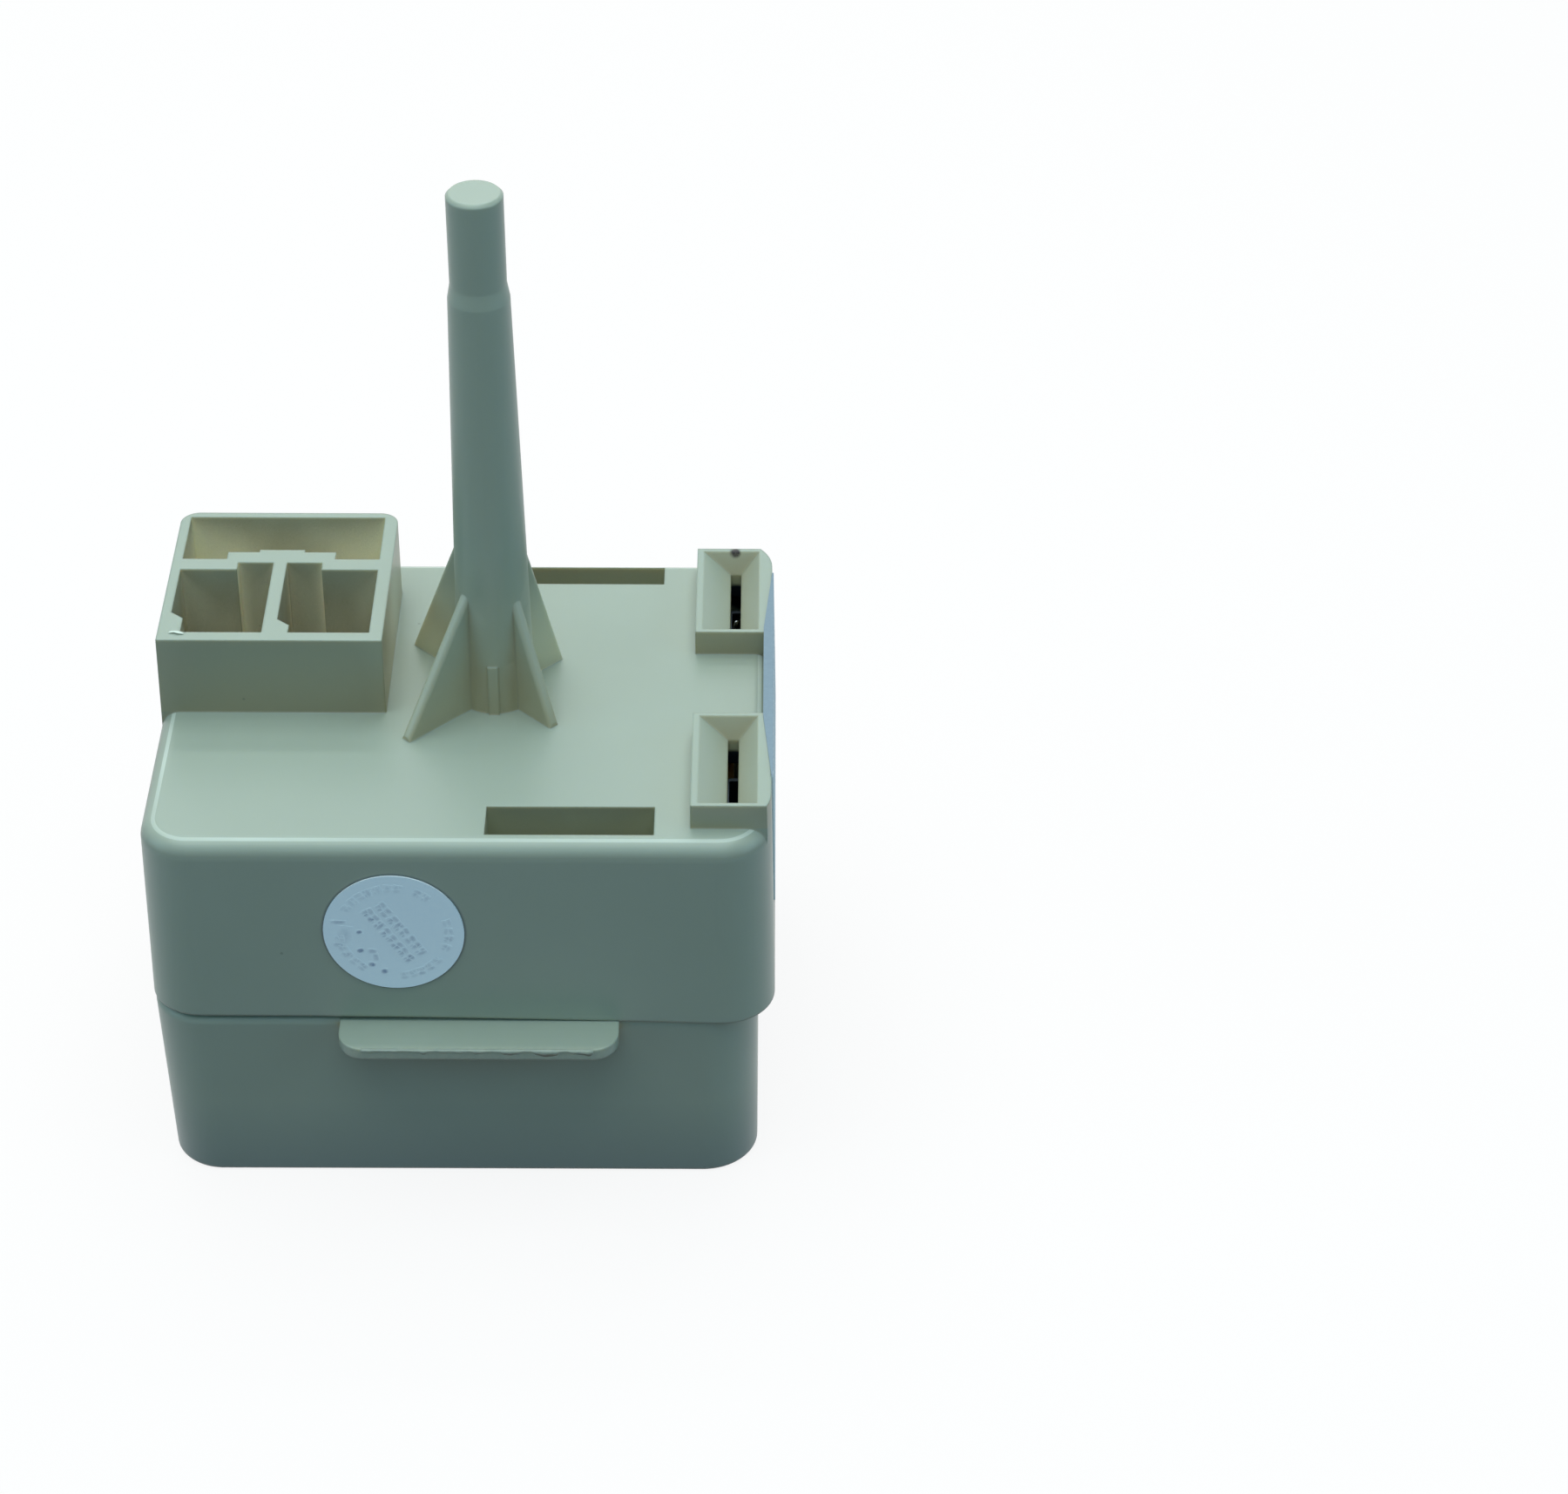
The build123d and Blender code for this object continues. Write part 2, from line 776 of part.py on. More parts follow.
def flat_tab(thickness=tab_thickness):
    """A plug tab standing on the cells' floor, in the XZ plane: bevelled tip and latching hole."""
    half = tab_width / 2
    tip = cell_bottom + tab_length
    outline = Polyline(
        (-half, cell_bottom - cell_floor),
        (half, cell_bottom - cell_floor),
        (half, tip - tab_tip_bevel),
        (half - tab_tip_bevel, tip),
        (tab_tip_bevel - half, tip),
        (-half, tip - tab_tip_bevel),
        close=True,
    )
    tab = extrude(Plane.XZ * make_face(outline), thickness / 2, both=True)
    hole = Pos(0, 0, tip - tab_hole_from_tip) * Rot(90, 0, 0) * Cylinder(tab_hole_radius, 2 * thickness)
    return tab - hole


def side_strip(route, centre_y, width, thickness):
    """A strip bent in the XZ plane along a route of (x, z) points."""
    path = FilletPolyline(*route, radius=bend_radius)
    strip = extrude(Plane.XZ * trace(path, thickness), width / 2, both=True)
    return Pos(0, centre_y, 0) * strip


def edge_strip(route, bottom, height, thickness):
    """A strip that stands on edge and follows a plan route of (x, y) points."""
    path = FilletPolyline(*route, radius=bar_bend_radius)
    return Pos(0, 0, bottom) * extrude(trace(path, thickness), height)


def foot_leg(place, top, foot_bottom):
    """A leg down to a socket, bent into a foot that runs towards +X."""
    leg_x, leg_y = place
    foot_z = foot_bottom + tab_thickness / 2
    route = ((leg_x, top), (leg_x, foot_z), (leg_x + foot_length, foot_z))
    return side_strip(route, leg_y, leg_width, tab_thickness)


def contact_place(angle):
    """Centre of one of the protector's contacts."""
    return (
        overload_x + contact_offset * math.cos(math.radians(angle)),
        overload_y + contact_offset * math.sin(math.radians(angle)),
    )


def heater_place(angle):
    """Centre of one of the heater's upright leads."""
    return (
        overload_x + heater_radius * math.cos(math.radians(angle)),
        overload_y + heater_radius * math.sin(math.radians(angle)),
    )


line_contact_angle = 225
load_contact_angle = 45
heater_start_angle = 45
heater_end_angle = 340
line_contact = contact_place(line_contact_angle)
load_contact = contact_place(load_contact_angle)
heater_in = heater_place(heater_start_angle)
heater_out = heater_place(heater_end_angle)


def upright_hole(place, radius, low, high):
    """A round hole along Z between two heights."""
    bottom = (Align.CENTER, Align.CENTER, Align.MIN)
    return Pos(*place, low) * Cylinder(radius, high - low, align=bottom)


def line_terminal():
    """Line tab with a leg down to the protector's first contact."""
    tab = Pos(line_tab_x, front_tab_y, 0) * Rot(0, 0, 90) * flat_tab()
    foot_z = cover_top + tab_thickness / 2
    route = (
        (line_tab_x, cell_bottom - cell_floor),
        (line_tab_x, foot_z),
        (line_contact[0] + contact_radius, foot_z),
    )
    leg = side_strip(route, line_contact[1], leg_width, tab_thickness)
    hole = upright_hole(line_contact, contact_shank_radius + touch_clearance, cover_top, cover_top + tab_thickness)
    return tab + leg - hole


def run_bus():
    """Neutral tab, bar, leg to the run socket and upright end under the front capacitor socket."""
    tab = Pos(neutral_tab_x, neutral_tab_y, 0) * flat_tab()
    drop = box_between(
        neutral_tab_x - leg_width / 2, neutral_tab_x + leg_width / 2,
        neutral_tab_y - tab_thickness / 2, neutral_tab_y + tab_thickness / 2,
        run_bar_bottom, cell_bottom - cell_floor,
    )
    route = (
        (neutral_tab_x - leg_width / 2, neutral_tab_y),
        (run_x, neutral_tab_y),
        (run_x, run_bar_front_y),
        (receptacle_x, run_bar_front_y),
        (receptacle_x, front_blade_y + leg_width),
    )
    bar = edge_strip(route, run_bar_bottom, bar_height, tab_thickness)
    leg = foot_leg((run_x, run_y), run_bar_bottom + bar_height, socket_top + strip_thickness)
    riser = box_between(
        receptacle_x - tab_thickness / 2, receptacle_x + tab_thickness / 2,
        front_blade_y - leg_width / 2, front_blade_y + leg_width / 2,
        run_bar_bottom, receptacle_bottom,
    )
    return tab + drop + bar + leg + riser


def start_bus():
    """Start tab, bar, leg to the start socket, contact plate and end under the back socket."""
    tab = Pos(start_tab_x, front_tab_y, 0) * Rot(0, 0, 90) * flat_tab()
    drop_low = front_tab_y - tab_width / 2
    drop = box_between(
        start_tab_x - tab_thickness / 2, start_tab_x + tab_thickness / 2,
        drop_low, drop_low + leg_width, start_bar_bottom, cell_bottom - cell_floor,
    )
    route = (
        (start_tab_x, drop_low + leg_width),
        (start_tab_x, start_jog_y),
        (start_x, start_jog_y),
        (start_x, start_bar_front_y),
        (receptacle_x, start_bar_front_y),
        (receptacle_x, back_blade_y + leg_width / 2),
    )
    bar = edge_strip(route, start_bar_bottom, bar_height, tab_thickness)
    leg = foot_leg((start_x, start_y), start_bar_bottom + bar_height, socket_top)
    plate = box_between(
        start_plate_face_x, start_plate_face_x + tab_thickness,
        ptc_centre_y - contact_plate_length / 2, ptc_centre_y + contact_plate_length / 2,
        saddle_top, start_bar_bottom + bar_height,
    )
    riser = box_between(
        start_plate_face_x, start_plate_face_x + tab_thickness,
        back_blade_y - leg_width / 2, back_blade_y + leg_width / 2,
        start_bar_bottom, receptacle_bottom,
    )
    return tab + drop + bar + leg + plate + riser


def run_plate():
    """Foot on the run socket and upright plate behind the run spring."""
    foot_z = socket_top + strip_thickness / 2
    foot = box_between(
        run_x - socket_radius, run_plate_face_x, run_y - leg_width / 2, run_y + leg_width / 2,
        foot_z - strip_thickness / 2, foot_z + strip_thickness / 2,
    )
    plate = box_between(
        run_plate_face_x - strip_thickness, run_plate_face_x,
        ptc_centre_y - contact_plate_length / 2, ptc_centre_y + contact_plate_length / 2,
        saddle_top, saddle_top + spring_height + strip_thickness,
    )
    return foot + plate


def load_link():
    """Link on the cover from the second contact to the heater's first lead."""
    inner = contact_offset - contact_radius
    outer = heater_radius + 2 * heater_wire_radius + strip_thickness
    plate = Pos((inner + outer) / 2, 0) * RectangleRounded(outer - inner, link_width, contact_radius / 2)
    link = Pos(overload_x, overload_y, cover_top) * Rot(0, 0, load_contact_angle) * extrude(plate, strip_thickness)
    high = cover_top + strip_thickness
    link -= upright_hole(load_contact, contact_shank_radius + touch_clearance, cover_top, high)
    return link - upright_hole(heater_in, heater_wire_radius + touch_clearance, cover_top, high)


def common_strip():
    """Flat strip from the heater's second lead to the common socket."""
    lead_x, lead_y = heater_out
    knee_x = (lead_x + common_x) / 2
    route = (
        (lead_x - leg_width / 2, lead_y),
        (knee_x, lead_y),
        (common_x - socket_radius, common_y),
        (common_x + socket_radius, common_y),
    )
    path = FilletPolyline(*route, radius=leg_width)
    strip = Pos(0, 0, socket_top) * extrude(trace(path, leg_width), strip_thickness)
    hole = upright_hole(
        heater_out, heater_wire_radius + touch_clearance, socket_top, socket_top + strip_thickness
    )
    return strip - hole


def pin_socket(place, slit_angle):
    """A rolled sleeve with a slit, for one compressor pin."""
    bottom = (Align.CENTER, Align.CENTER, Align.MIN)
    sleeve = Cylinder(socket_radius, socket_length, align=bottom) - Cylinder(pin_radius, socket_length, align=bottom)
    slit = Box(socket_radius * 2, socket_slit, socket_length, align=(Align.MIN, Align.CENTER, Align.MIN))
    return Pos(*place, floor) * Rot(0, 0, slit_angle) * (sleeve - slit)


def socket_clip(place, slit_angle):
    """An open spring ring round a socket, resting on its well."""
    bottom = (Align.CENTER, Align.CENTER, Align.MIN)
    ring = Cylinder(socket_radius + clip_thickness, clip_height, align=bottom)
    ring -= Cylinder(socket_radius, clip_height, align=bottom)
    slit = Box(socket_radius * 2, clip_slit, clip_height, align=(Align.MIN, Align.CENTER, Align.MIN))
    return Pos(*place, floor + well_height) * Rot(0, 0, slit_angle) * (ring - slit)


def capacitor_socket(centre_y):
    """A blade socket: a flat back and two curls that press the blade against it."""
    half = receptacle_half_width
    lip_gap = capacitor_blade + receptacle_thickness
    curl = FilletPolyline(
        (0, 0),
        (0, half),
        (receptacle_curl, half),
        (receptacle_curl, half / 2),
        (lip_gap, half / 4),
        radius=receptacle_thickness,
    )
    half_socket = extrude(trace(curl, receptacle_thickness), receptacle_length)
    socket = half_socket + mirror(half_socket, about=Plane.XZ)
    return Pos(receptacle_x, centre_y, receptacle_bottom) * socket


def ptc_disc():
    """The thermistor disc, standing on edge."""
    disc = Cylinder(ptc_radius, ptc_thickness)
    disc = chamfer(disc.edges().filter_by(GeomType.CIRCLE), ptc_edge_bevel)
    middle_x = (ptc_left_x + ptc_right_x) / 2
    return Pos(middle_x, ptc_centre_y, ptc_centre_z) * Rot(0, 90, 0) * disc


def wave_route():
    """Plan route of the leaf spring as (depth, distance) points: two crests between three feet."""
    low = spring_thickness / 2
    high = spring_gap - spring_thickness / 2
    run = (spring_length - 2 * spring_crest - 4 * spring_slope) / 3
    route = [(low, 0)]
    distance = run
    for _ in range(2):
        route += [(low, distance), (high, distance + spring_slope)]
        distance += spring_slope + spring_crest
        route += [(high, distance), (low, distance + spring_slope)]
        distance += spring_slope + run
    route.append((low, spring_length))
    return route


def ptc_spring(back_x, direction):
    """A wave-shaped leaf spring between a contact plate and the disc."""
    start_y = ptc_centre_y - spring_length / 2
    route = [(back_x + direction * depth, start_y + distance) for depth, distance in wave_route()]
    path = FilletPolyline(*route, radius=spring_thickness * 2)
    return Pos(0, 0, saddle_top) * extrude(trace(path, spring_thickness), spring_height)


def ptc_barrier():
    """Fibre sheet between the pins and the thermistor, notched for the run plate's foot."""
    half = barrier_length / 2
    sheet = box_between(
        barrier_x - barrier_thickness / 2, barrier_x + barrier_thickness / 2,
        ptc_centre_y - half, ptc_centre_y + half, floor, floor + barrier_height,
    )
    notch_half = leg_width / 2 + 2 * touch_clearance
    notch = box_between(
        barrier_x - barrier_thickness, barrier_x + barrier_thickness,
        run_y - notch_half, run_y + notch_half,
        socket_top - 2 * touch_clearance, floor + barrier_height,
    )
    return sheet - notch


def overload_case():
    """The protector's round bowl."""
    bottom = (Align.CENTER, Align.CENTER, Align.MIN)
    bowl = Cylinder(case_radius, case_height, align=bottom)
    room = Pos(0, 0, case_floor) * Cylinder(case_radius - case_wall, case_height - case_floor, align=bottom)
    hole = Cylinder(screw_radius + touch_clearance, case_floor, align=bottom)
    return Pos(overload_x, overload_y, floor) * (bowl - room - hole)


def overload_cover():
    """The protector's lid, with holes for two contacts and two heater leads."""
    bottom = (Align.CENTER, Align.CENTER, Align.MIN)
    lid = Pos(overload_x, overload_y, cover_bottom) * Cylinder(case_radius, cover_thickness, align=bottom)
    for place in (line_contact, load_contact):
        lid -= upright_hole(place, contact_shank_radius + touch_clearance, cover_bottom, cover_top)
    for place in (heater_in, heater_out):
        lid -= upright_hole(place, heater_wire_radius + touch_clearance, cover_bottom, cover_top)
    return lid


def fixed_contact(place, stack):
    """A contact riveted through the lid and the sheet of the given thickness on it."""
    bottom = (Align.CENTER, Align.CENTER, Align.MIN)
    face = Cylinder(contact_radius, contact_thickness, align=bottom)
    shank_length = contact_thickness + cover_thickness + stack
    shank = Cylinder(contact_shank_radius, shank_length, align=bottom)
    head = Pos(0, 0, shank_length) * Cylinder(contact_radius, contact_head, align=bottom)
    head = fillet(head.edges().sort_by(Axis.Z)[-1], contact_head / 2)
    return Pos(*place, cover_bottom - contact_thickness) * (face + shank + head)


def bimetal_disc():
    """The dished snap disc."""
    ring_bottom = disc_hub_bottom + disc_dish
    profile = Polyline(
        (screw_radius + touch_clearance, disc_hub_bottom),
        (disc_hub_radius, disc_hub_bottom),
        (disc_dish_radius, ring_bottom),
        (disc_radius, ring_bottom),
        (disc_radius, ring_bottom + disc_thickness),
        (disc_dish_radius, ring_bottom + disc_thickness),
        (disc_hub_radius, disc_hub_bottom + disc_thickness),
        (screw_radius + touch_clearance, disc_hub_bottom + disc_thickness),
        close=True,
    )
    disc = revolve(Plane.XZ * make_face(profile), Axis.Z)
    return Pos(overload_x, overload_y, 0) * disc


def moving_contacts():
    """The two contact buttons welded on the snap disc."""
    button = Cylinder(contact_radius, contact_thickness, align=(Align.CENTER, Align.CENTER, Align.MIN))
    return Compound(children=[Pos(*place, disc_ring_top) * button for place in (line_contact, load_contact)])


def overload_screw():
    """The calibration screw that carries the snap disc's centre."""
    bottom = (Align.CENTER, Align.CENTER, Align.MIN)
    end_bottom = disc_hub_bottom + disc_thickness
    shank = Cylinder(screw_radius, end_bottom + screw_collar - floor, align=bottom)
    screw = Pos(0, 0, floor) * shank
    screw += Pos(0, 0, floor - screw_head) * Cylinder(screw_head_radius, screw_head, align=bottom)
    screw += Pos(0, 0, disc_hub_bottom - screw_collar) * Cylinder(screw_collar_radius, screw_collar, align=bottom)
    screw += Pos(0, 0, end_bottom) * Cylinder(screw_end_radius, screw_collar, align=bottom)
    slot = Pos(0, 0, floor - screw_head) * Box(2 * screw_head_radius, screw_radius / 2, screw_head / 2,
                                               align=bottom)
    return Pos(overload_x, overload_y, 0) * (screw - slot)


def heater_wire():
    """The heater: most of a turn of wire under the disc, with two upright leads."""
    ring_z = floor + heater_height
    sweep_angle = heater_end_angle - heater_start_angle
    section = Plane.XZ * Pos(heater_radius, ring_z) * Circle(heater_wire_radius)
    turn = Rot(0, 0, heater_start_angle) * revolve(section, Axis.Z, revolution_arc=sweep_angle)
    wire = Pos(overload_x, overload_y, 0) * turn
    lead_top = cover_top + strip_thickness + heater_stub
    for place in (heater_in, heater_out):
        wire += upright_hole(place, heater_wire_radius, ring_z, lead_top)
        wire += Pos(*place, ring_z) * Sphere(heater_wire_radius)
    return wire


def all_parts():
    """Every piece by its name."""
    parts = {
        "upper_housing": upper_housing(),
        "lower_housing": lower_housing(),
        "round_sticker": round_sticker(),
        "side_label": side_label(),
        "line_terminal": line_terminal(),
        "run_bus": run_bus(),
        "start_bus": start_bus(),
        "run_plate": run_plate(),
        "load_link": load_link(),
        "common_strip": common_strip(),
        "capacitor_socket_front": capacitor_socket(front_blade_y),
        "capacitor_socket_back": capacitor_socket(back_blade_y),
        "ptc_disc": ptc_disc(),
        "ptc_spring_run": ptc_spring(run_plate_face_x, 1),
        "ptc_spring_start": ptc_spring(start_plate_face_x, -1),
        "ptc_barrier": ptc_barrier(),
        "overload_case": overload_case(),
        "overload_cover": overload_cover(),
        "overload_screw": overload_screw(),
        "bimetal_disc": bimetal_disc(),
        "moving_contacts": moving_contacts(),
        "fixed_contact_line": fixed_contact(line_contact, tab_thickness),
        "fixed_contact_load": fixed_contact(load_contact, strip_thickness),
        "heater_wire": heater_wire(),
    }
    slit_angles = {"common": 90, "start": 180, "run": 270}
    for name, place in pin_places.items():
        parts["pin_socket_" + name] = pin_socket(place, slit_angles[name])
        parts["socket_clip_" + name] = socket_clip(place, slit_angles[name])
    return parts


os.makedirs("parts", exist_ok=True)
for part_name, shape in all_parts().items():
    export_step(shape, "parts/" + part_name + ".step")
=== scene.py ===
# %% [markdown]
# # A compressor start relay, dressed and lit
# The relay plugs on the three pins of a sealed compressor. Its two shells are moulded in pale
# plastic, and a shroud for a plug, two funnels for flat blades and a tall gusseted post stand
# on its roof. The exact solids are loaded as a frame, in metres, and stay where they are. What
# is added here is the finish of every piece, the paper that is stuck on it, and the light.

# %% Load the solids
import json
import math
import random
import bmesh
import bpy
from mathutils import Matrix, Vector, noise


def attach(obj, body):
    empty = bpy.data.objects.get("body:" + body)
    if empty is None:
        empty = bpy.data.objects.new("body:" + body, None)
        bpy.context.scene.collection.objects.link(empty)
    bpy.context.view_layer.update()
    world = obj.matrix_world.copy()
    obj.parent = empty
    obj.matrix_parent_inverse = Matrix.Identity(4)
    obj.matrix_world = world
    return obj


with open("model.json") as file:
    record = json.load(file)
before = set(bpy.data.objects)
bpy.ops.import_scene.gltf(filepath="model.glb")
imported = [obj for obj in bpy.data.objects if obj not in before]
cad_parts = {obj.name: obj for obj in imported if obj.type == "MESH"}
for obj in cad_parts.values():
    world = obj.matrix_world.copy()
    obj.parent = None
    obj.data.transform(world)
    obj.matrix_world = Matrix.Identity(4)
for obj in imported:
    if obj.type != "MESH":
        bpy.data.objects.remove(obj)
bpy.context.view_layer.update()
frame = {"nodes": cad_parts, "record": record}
solids = frame["nodes"]

# %% [markdown]
# ## The camera
# The picture is taken from in front and well above, with a long lens, so that upright edges
# hardly converge. A camera can be placed by eye, but here its angles were worked out from the
# straight edges of the housing, and the three angles are turned into the camera's own axes.
# That keeps the tiny turn and tilt that a camera on a stand always has.

# %% Camera
MM = 0.001
camera_aim = Vector((30.435, 19.07, 20.0)) * MM
camera_distance = 417.84 * MM
camera_turn = math.radians(-0.228)
camera_pitch = math.radians(36.353)
camera_tilt = math.radians(0.348)
camera_lens_mm = 93.26


def camera_axes(turn, pitch, tilt):
    """Right, up and backward directions of a camera, as the columns of a matrix."""
    level = math.cos(pitch)
    backward = Vector((math.sin(turn) * level, -math.cos(turn) * level, math.sin(pitch)))
    right = Vector((0, 0, 1)).cross(backward).normalized()
    up = backward.cross(right)
    tilted_right = right * math.cos(tilt) + up * math.sin(tilt)
    tilted_up = up * math.cos(tilt) - right * math.sin(tilt)
    return Matrix((tilted_right, tilted_up, backward)).transposed()


axes = camera_axes(camera_turn, camera_pitch, camera_tilt)
camera = bpy.data.objects.new("camera", bpy.data.cameras.new("camera"))
bpy.context.scene.collection.objects.link(camera)
camera.matrix_world = Matrix.Translation(camera_aim + axes.col[2] * camera_distance) @ axes.to_4x4()
camera.data.lens = camera_lens_mm
camera.data.sensor_width = 36.0
camera.data.clip_start = 0.01
bpy.context.scene.camera = camera
print("camera at mm:", [round(1000 * v, 1) for v in camera.matrix_world.translation])

# %% [markdown]
# ## Colours and nodes
# Paint charts and pictures give colours as sRGB hex values, but a shader wants linear numbers,
# so one function changes them. Every material below is a small net of nodes. One more function
# adds a node, sets it and links it, so that each finish reads as a list of what is done to it.

# %% Colour and node helpers


def linear(hex_colour):
    """Linear red, green, blue and alpha of an sRGB hex colour."""
    channels = [int(hex_colour[i:i + 2], 16) / 255 for i in (1, 3, 5)]
    return [c / 12.92 if c <= 0.04045 else ((c + 0.055) / 1.055) ** 2.4 for c in channels] + [1.0]


def add(tree, kind, inputs=None, **settings):
    """Adds a node, sets its properties, and fills its sockets with values or links."""
    node = tree.nodes.new(kind)
    for name, value in settings.items():
        setattr(node, name, value)
    for socket, value in (inputs or {}).items():
        if isinstance(value, bpy.types.NodeSocket):
            tree.links.new(value, node.inputs[socket])
        else:
            node.inputs[socket].default_value = value
    return node


def new_finish(name, **constants):
    """A material with one Principled shader, its fixed values set on the shader itself."""
    material = bpy.data.materials.new(name)
    material.use_nodes = True
    shader = material.node_tree.nodes["Principled BSDF"]
    for socket, value in constants.items():
        shader.inputs[socket.replace("_", " ")].default_value = value
    return material, material.node_tree, shader


def per_metre(millimetres):
    """The texture scale that gives a pattern that size."""
    return 1000.0 / millimetres


print("white is", linear("#ffffff")[:3])

# %% [markdown]
# ## Coats of colour
# A moulding is one plastic, yet it hardly shows the same colour twice. Its finish is built up as
# a painter would do it: a base, and over it thin coats, each held to its place by masks, which
# are numbers from zero to one at every point. A mask can come from the distance to a spot, from
# the height, from the way the surface faces, or from how shut in it lies. The other way, one
# picture wrapped round the housing, would show seams and blur close up.
# Several coats below paint light and shade into the colour: bounce light, highlights and shade.

# %% Masks and coats


def near_place(tree, place, centre, radius_mm, softness_mm):
    """One within a radius of a point, fading to zero over a soft rim."""
    away = add(tree, "ShaderNodeVectorMath", {0: place, 1: centre}, operation="DISTANCE")
    return add(tree, "ShaderNodeMapRange", {
        "Value": away.outputs["Value"], "From Min": radius_mm * MM,
        "From Max": (radius_mm + softness_mm) * MM, "To Min": 1.0, "To Max": 0.0}).outputs["Result"]


def paint_over(tree, under, masks, over_hex, share=1.0):
    """Lays a flat colour over another where every mask is one, up to a share of full cover."""
    cover, *others = masks
    for mask in others:
        cover = add(tree, "ShaderNodeMath", {0: cover, 1: mask}, operation="MULTIPLY").outputs[0]
    cover = add(tree, "ShaderNodeMath", {0: cover, 1: share}, operation="MULTIPLY", use_clamp=True)
    return add(tree, "ShaderNodeMix", {"Factor": cover.outputs[0], "A": under, "B": linear(over_hex)},
               data_type="RGBA").outputs["Result"]


print("made two painting helpers")

# %% [markdown]
# ## What a mask can be made from
# One function gathers the facts about a point of the housing: its place and height, how far it
# faces up, how open it lies to the room, and two noises. The broad one is the faint clouds that
# years in stock leave, and the fine one breaks up worn places. Openness comes from Ambient
# Occlusion on the piece itself, so that it stays the same whatever stands near.

# %% Facts about a point
pbt_cloud_mm = 14.0
pbt_smear_mm = 0.6
pbt_shade_reach_mm = 9.0
wall_from, wall_full = 0.9, 0.3          # upward part of the normal, which is 1 on a roof


def surface_facts(tree):
    """Place, height, facing, openness and two noises, as sockets under plain names."""
    place = add(tree, "ShaderNodeTexCoord").outputs["Object"]
    spot = add(tree, "ShaderNodeSeparateXYZ", {"Vector": place}).outputs
    normal = add(tree, "ShaderNodeNewGeometry").outputs["Normal"]
    facing_up = add(tree, "ShaderNodeSeparateXYZ", {"Vector": normal}).outputs["Z"]
    upright = add(tree, "ShaderNodeMapRange", {"Value": facing_up, "From Min": wall_from,
                                               "From Max": wall_full})
    open_sky = add(tree, "ShaderNodeAmbientOcclusion", {"Distance": pbt_shade_reach_mm * MM},
                   samples=8, only_local=True)
    clouds = add(tree, "ShaderNodeTexNoise", {"Vector": place, "Scale": per_metre(pbt_cloud_mm),
                                              "Detail": 4.0})
    smear = add(tree, "ShaderNodeTexNoise", {"Vector": place, "Scale": per_metre(pbt_smear_mm),
                                             "Detail": 3.0})
    return {"place": place, "X": spot["X"], "Y": spot["Y"], "Z": spot["Z"], "facing_up": facing_up,
            "upright": upright.outputs["Result"], "openness": open_sky.outputs["AO"],
            "clouds": clouds.outputs["Fac"], "smear": smear.outputs["Fac"]}


print("corners are told from open walls over", pbt_shade_reach_mm, "mm")

# %% [markdown]
# ## Painted bounce light and shade on walls
# Upright plastic looks warmer in corners and near the roof, because light reaches it there by way
# of other cream walls, and these coats paint that bounce light and the corner shade into the colour.
# The two gussets at the back get a painted glow, for the light that thin plastic lets through. The
# front of the plug shroud gets painted shade, and its cells a pale painted light, for the light
# that bounces between their walls. These coats leave the flat roof alone.

# %% Painted bounce light and shade on walls
# Painted light and shade: warm corner shade, bounce light off the roof, gusset glow, shroud shade, pale light
# in the cells.
foot_corner, deep_corner, cell_corner = (0.85, 0.58), (0.5, 0.25), (0.58, 0.34)   # open, shut
roof_top_mm = 39.95
warm_ends_mm, warm_full_mm = 58.0, 44.0
roof_bounce_coat = ("#b3a583", 0.45)
back_webs = [Vector(middle) * MM for middle in ((-3.4, 7.0, 44.0), (7.9, 6.2, 44.5))]
web_glow_mm, web_fade_mm = 3.5, 5.5
web_glow_coat = ("#ece6c6", 0.42)
shroud_front = Vector((-18.5, -2.2, 43.0)) * MM
shroud_shade_mm, shroud_fade_mm = 9.0, 5.0
shroud_shade_coat = ("#7f7a66", 0.35)
cells_box_mm = {"X": (-18.4, 9.9), "Y": (8.56, 10.3), "Z": (40.3, 8.2)}     # middle, half size
cell_light_coat = ("#fdf2d2", 1.0)


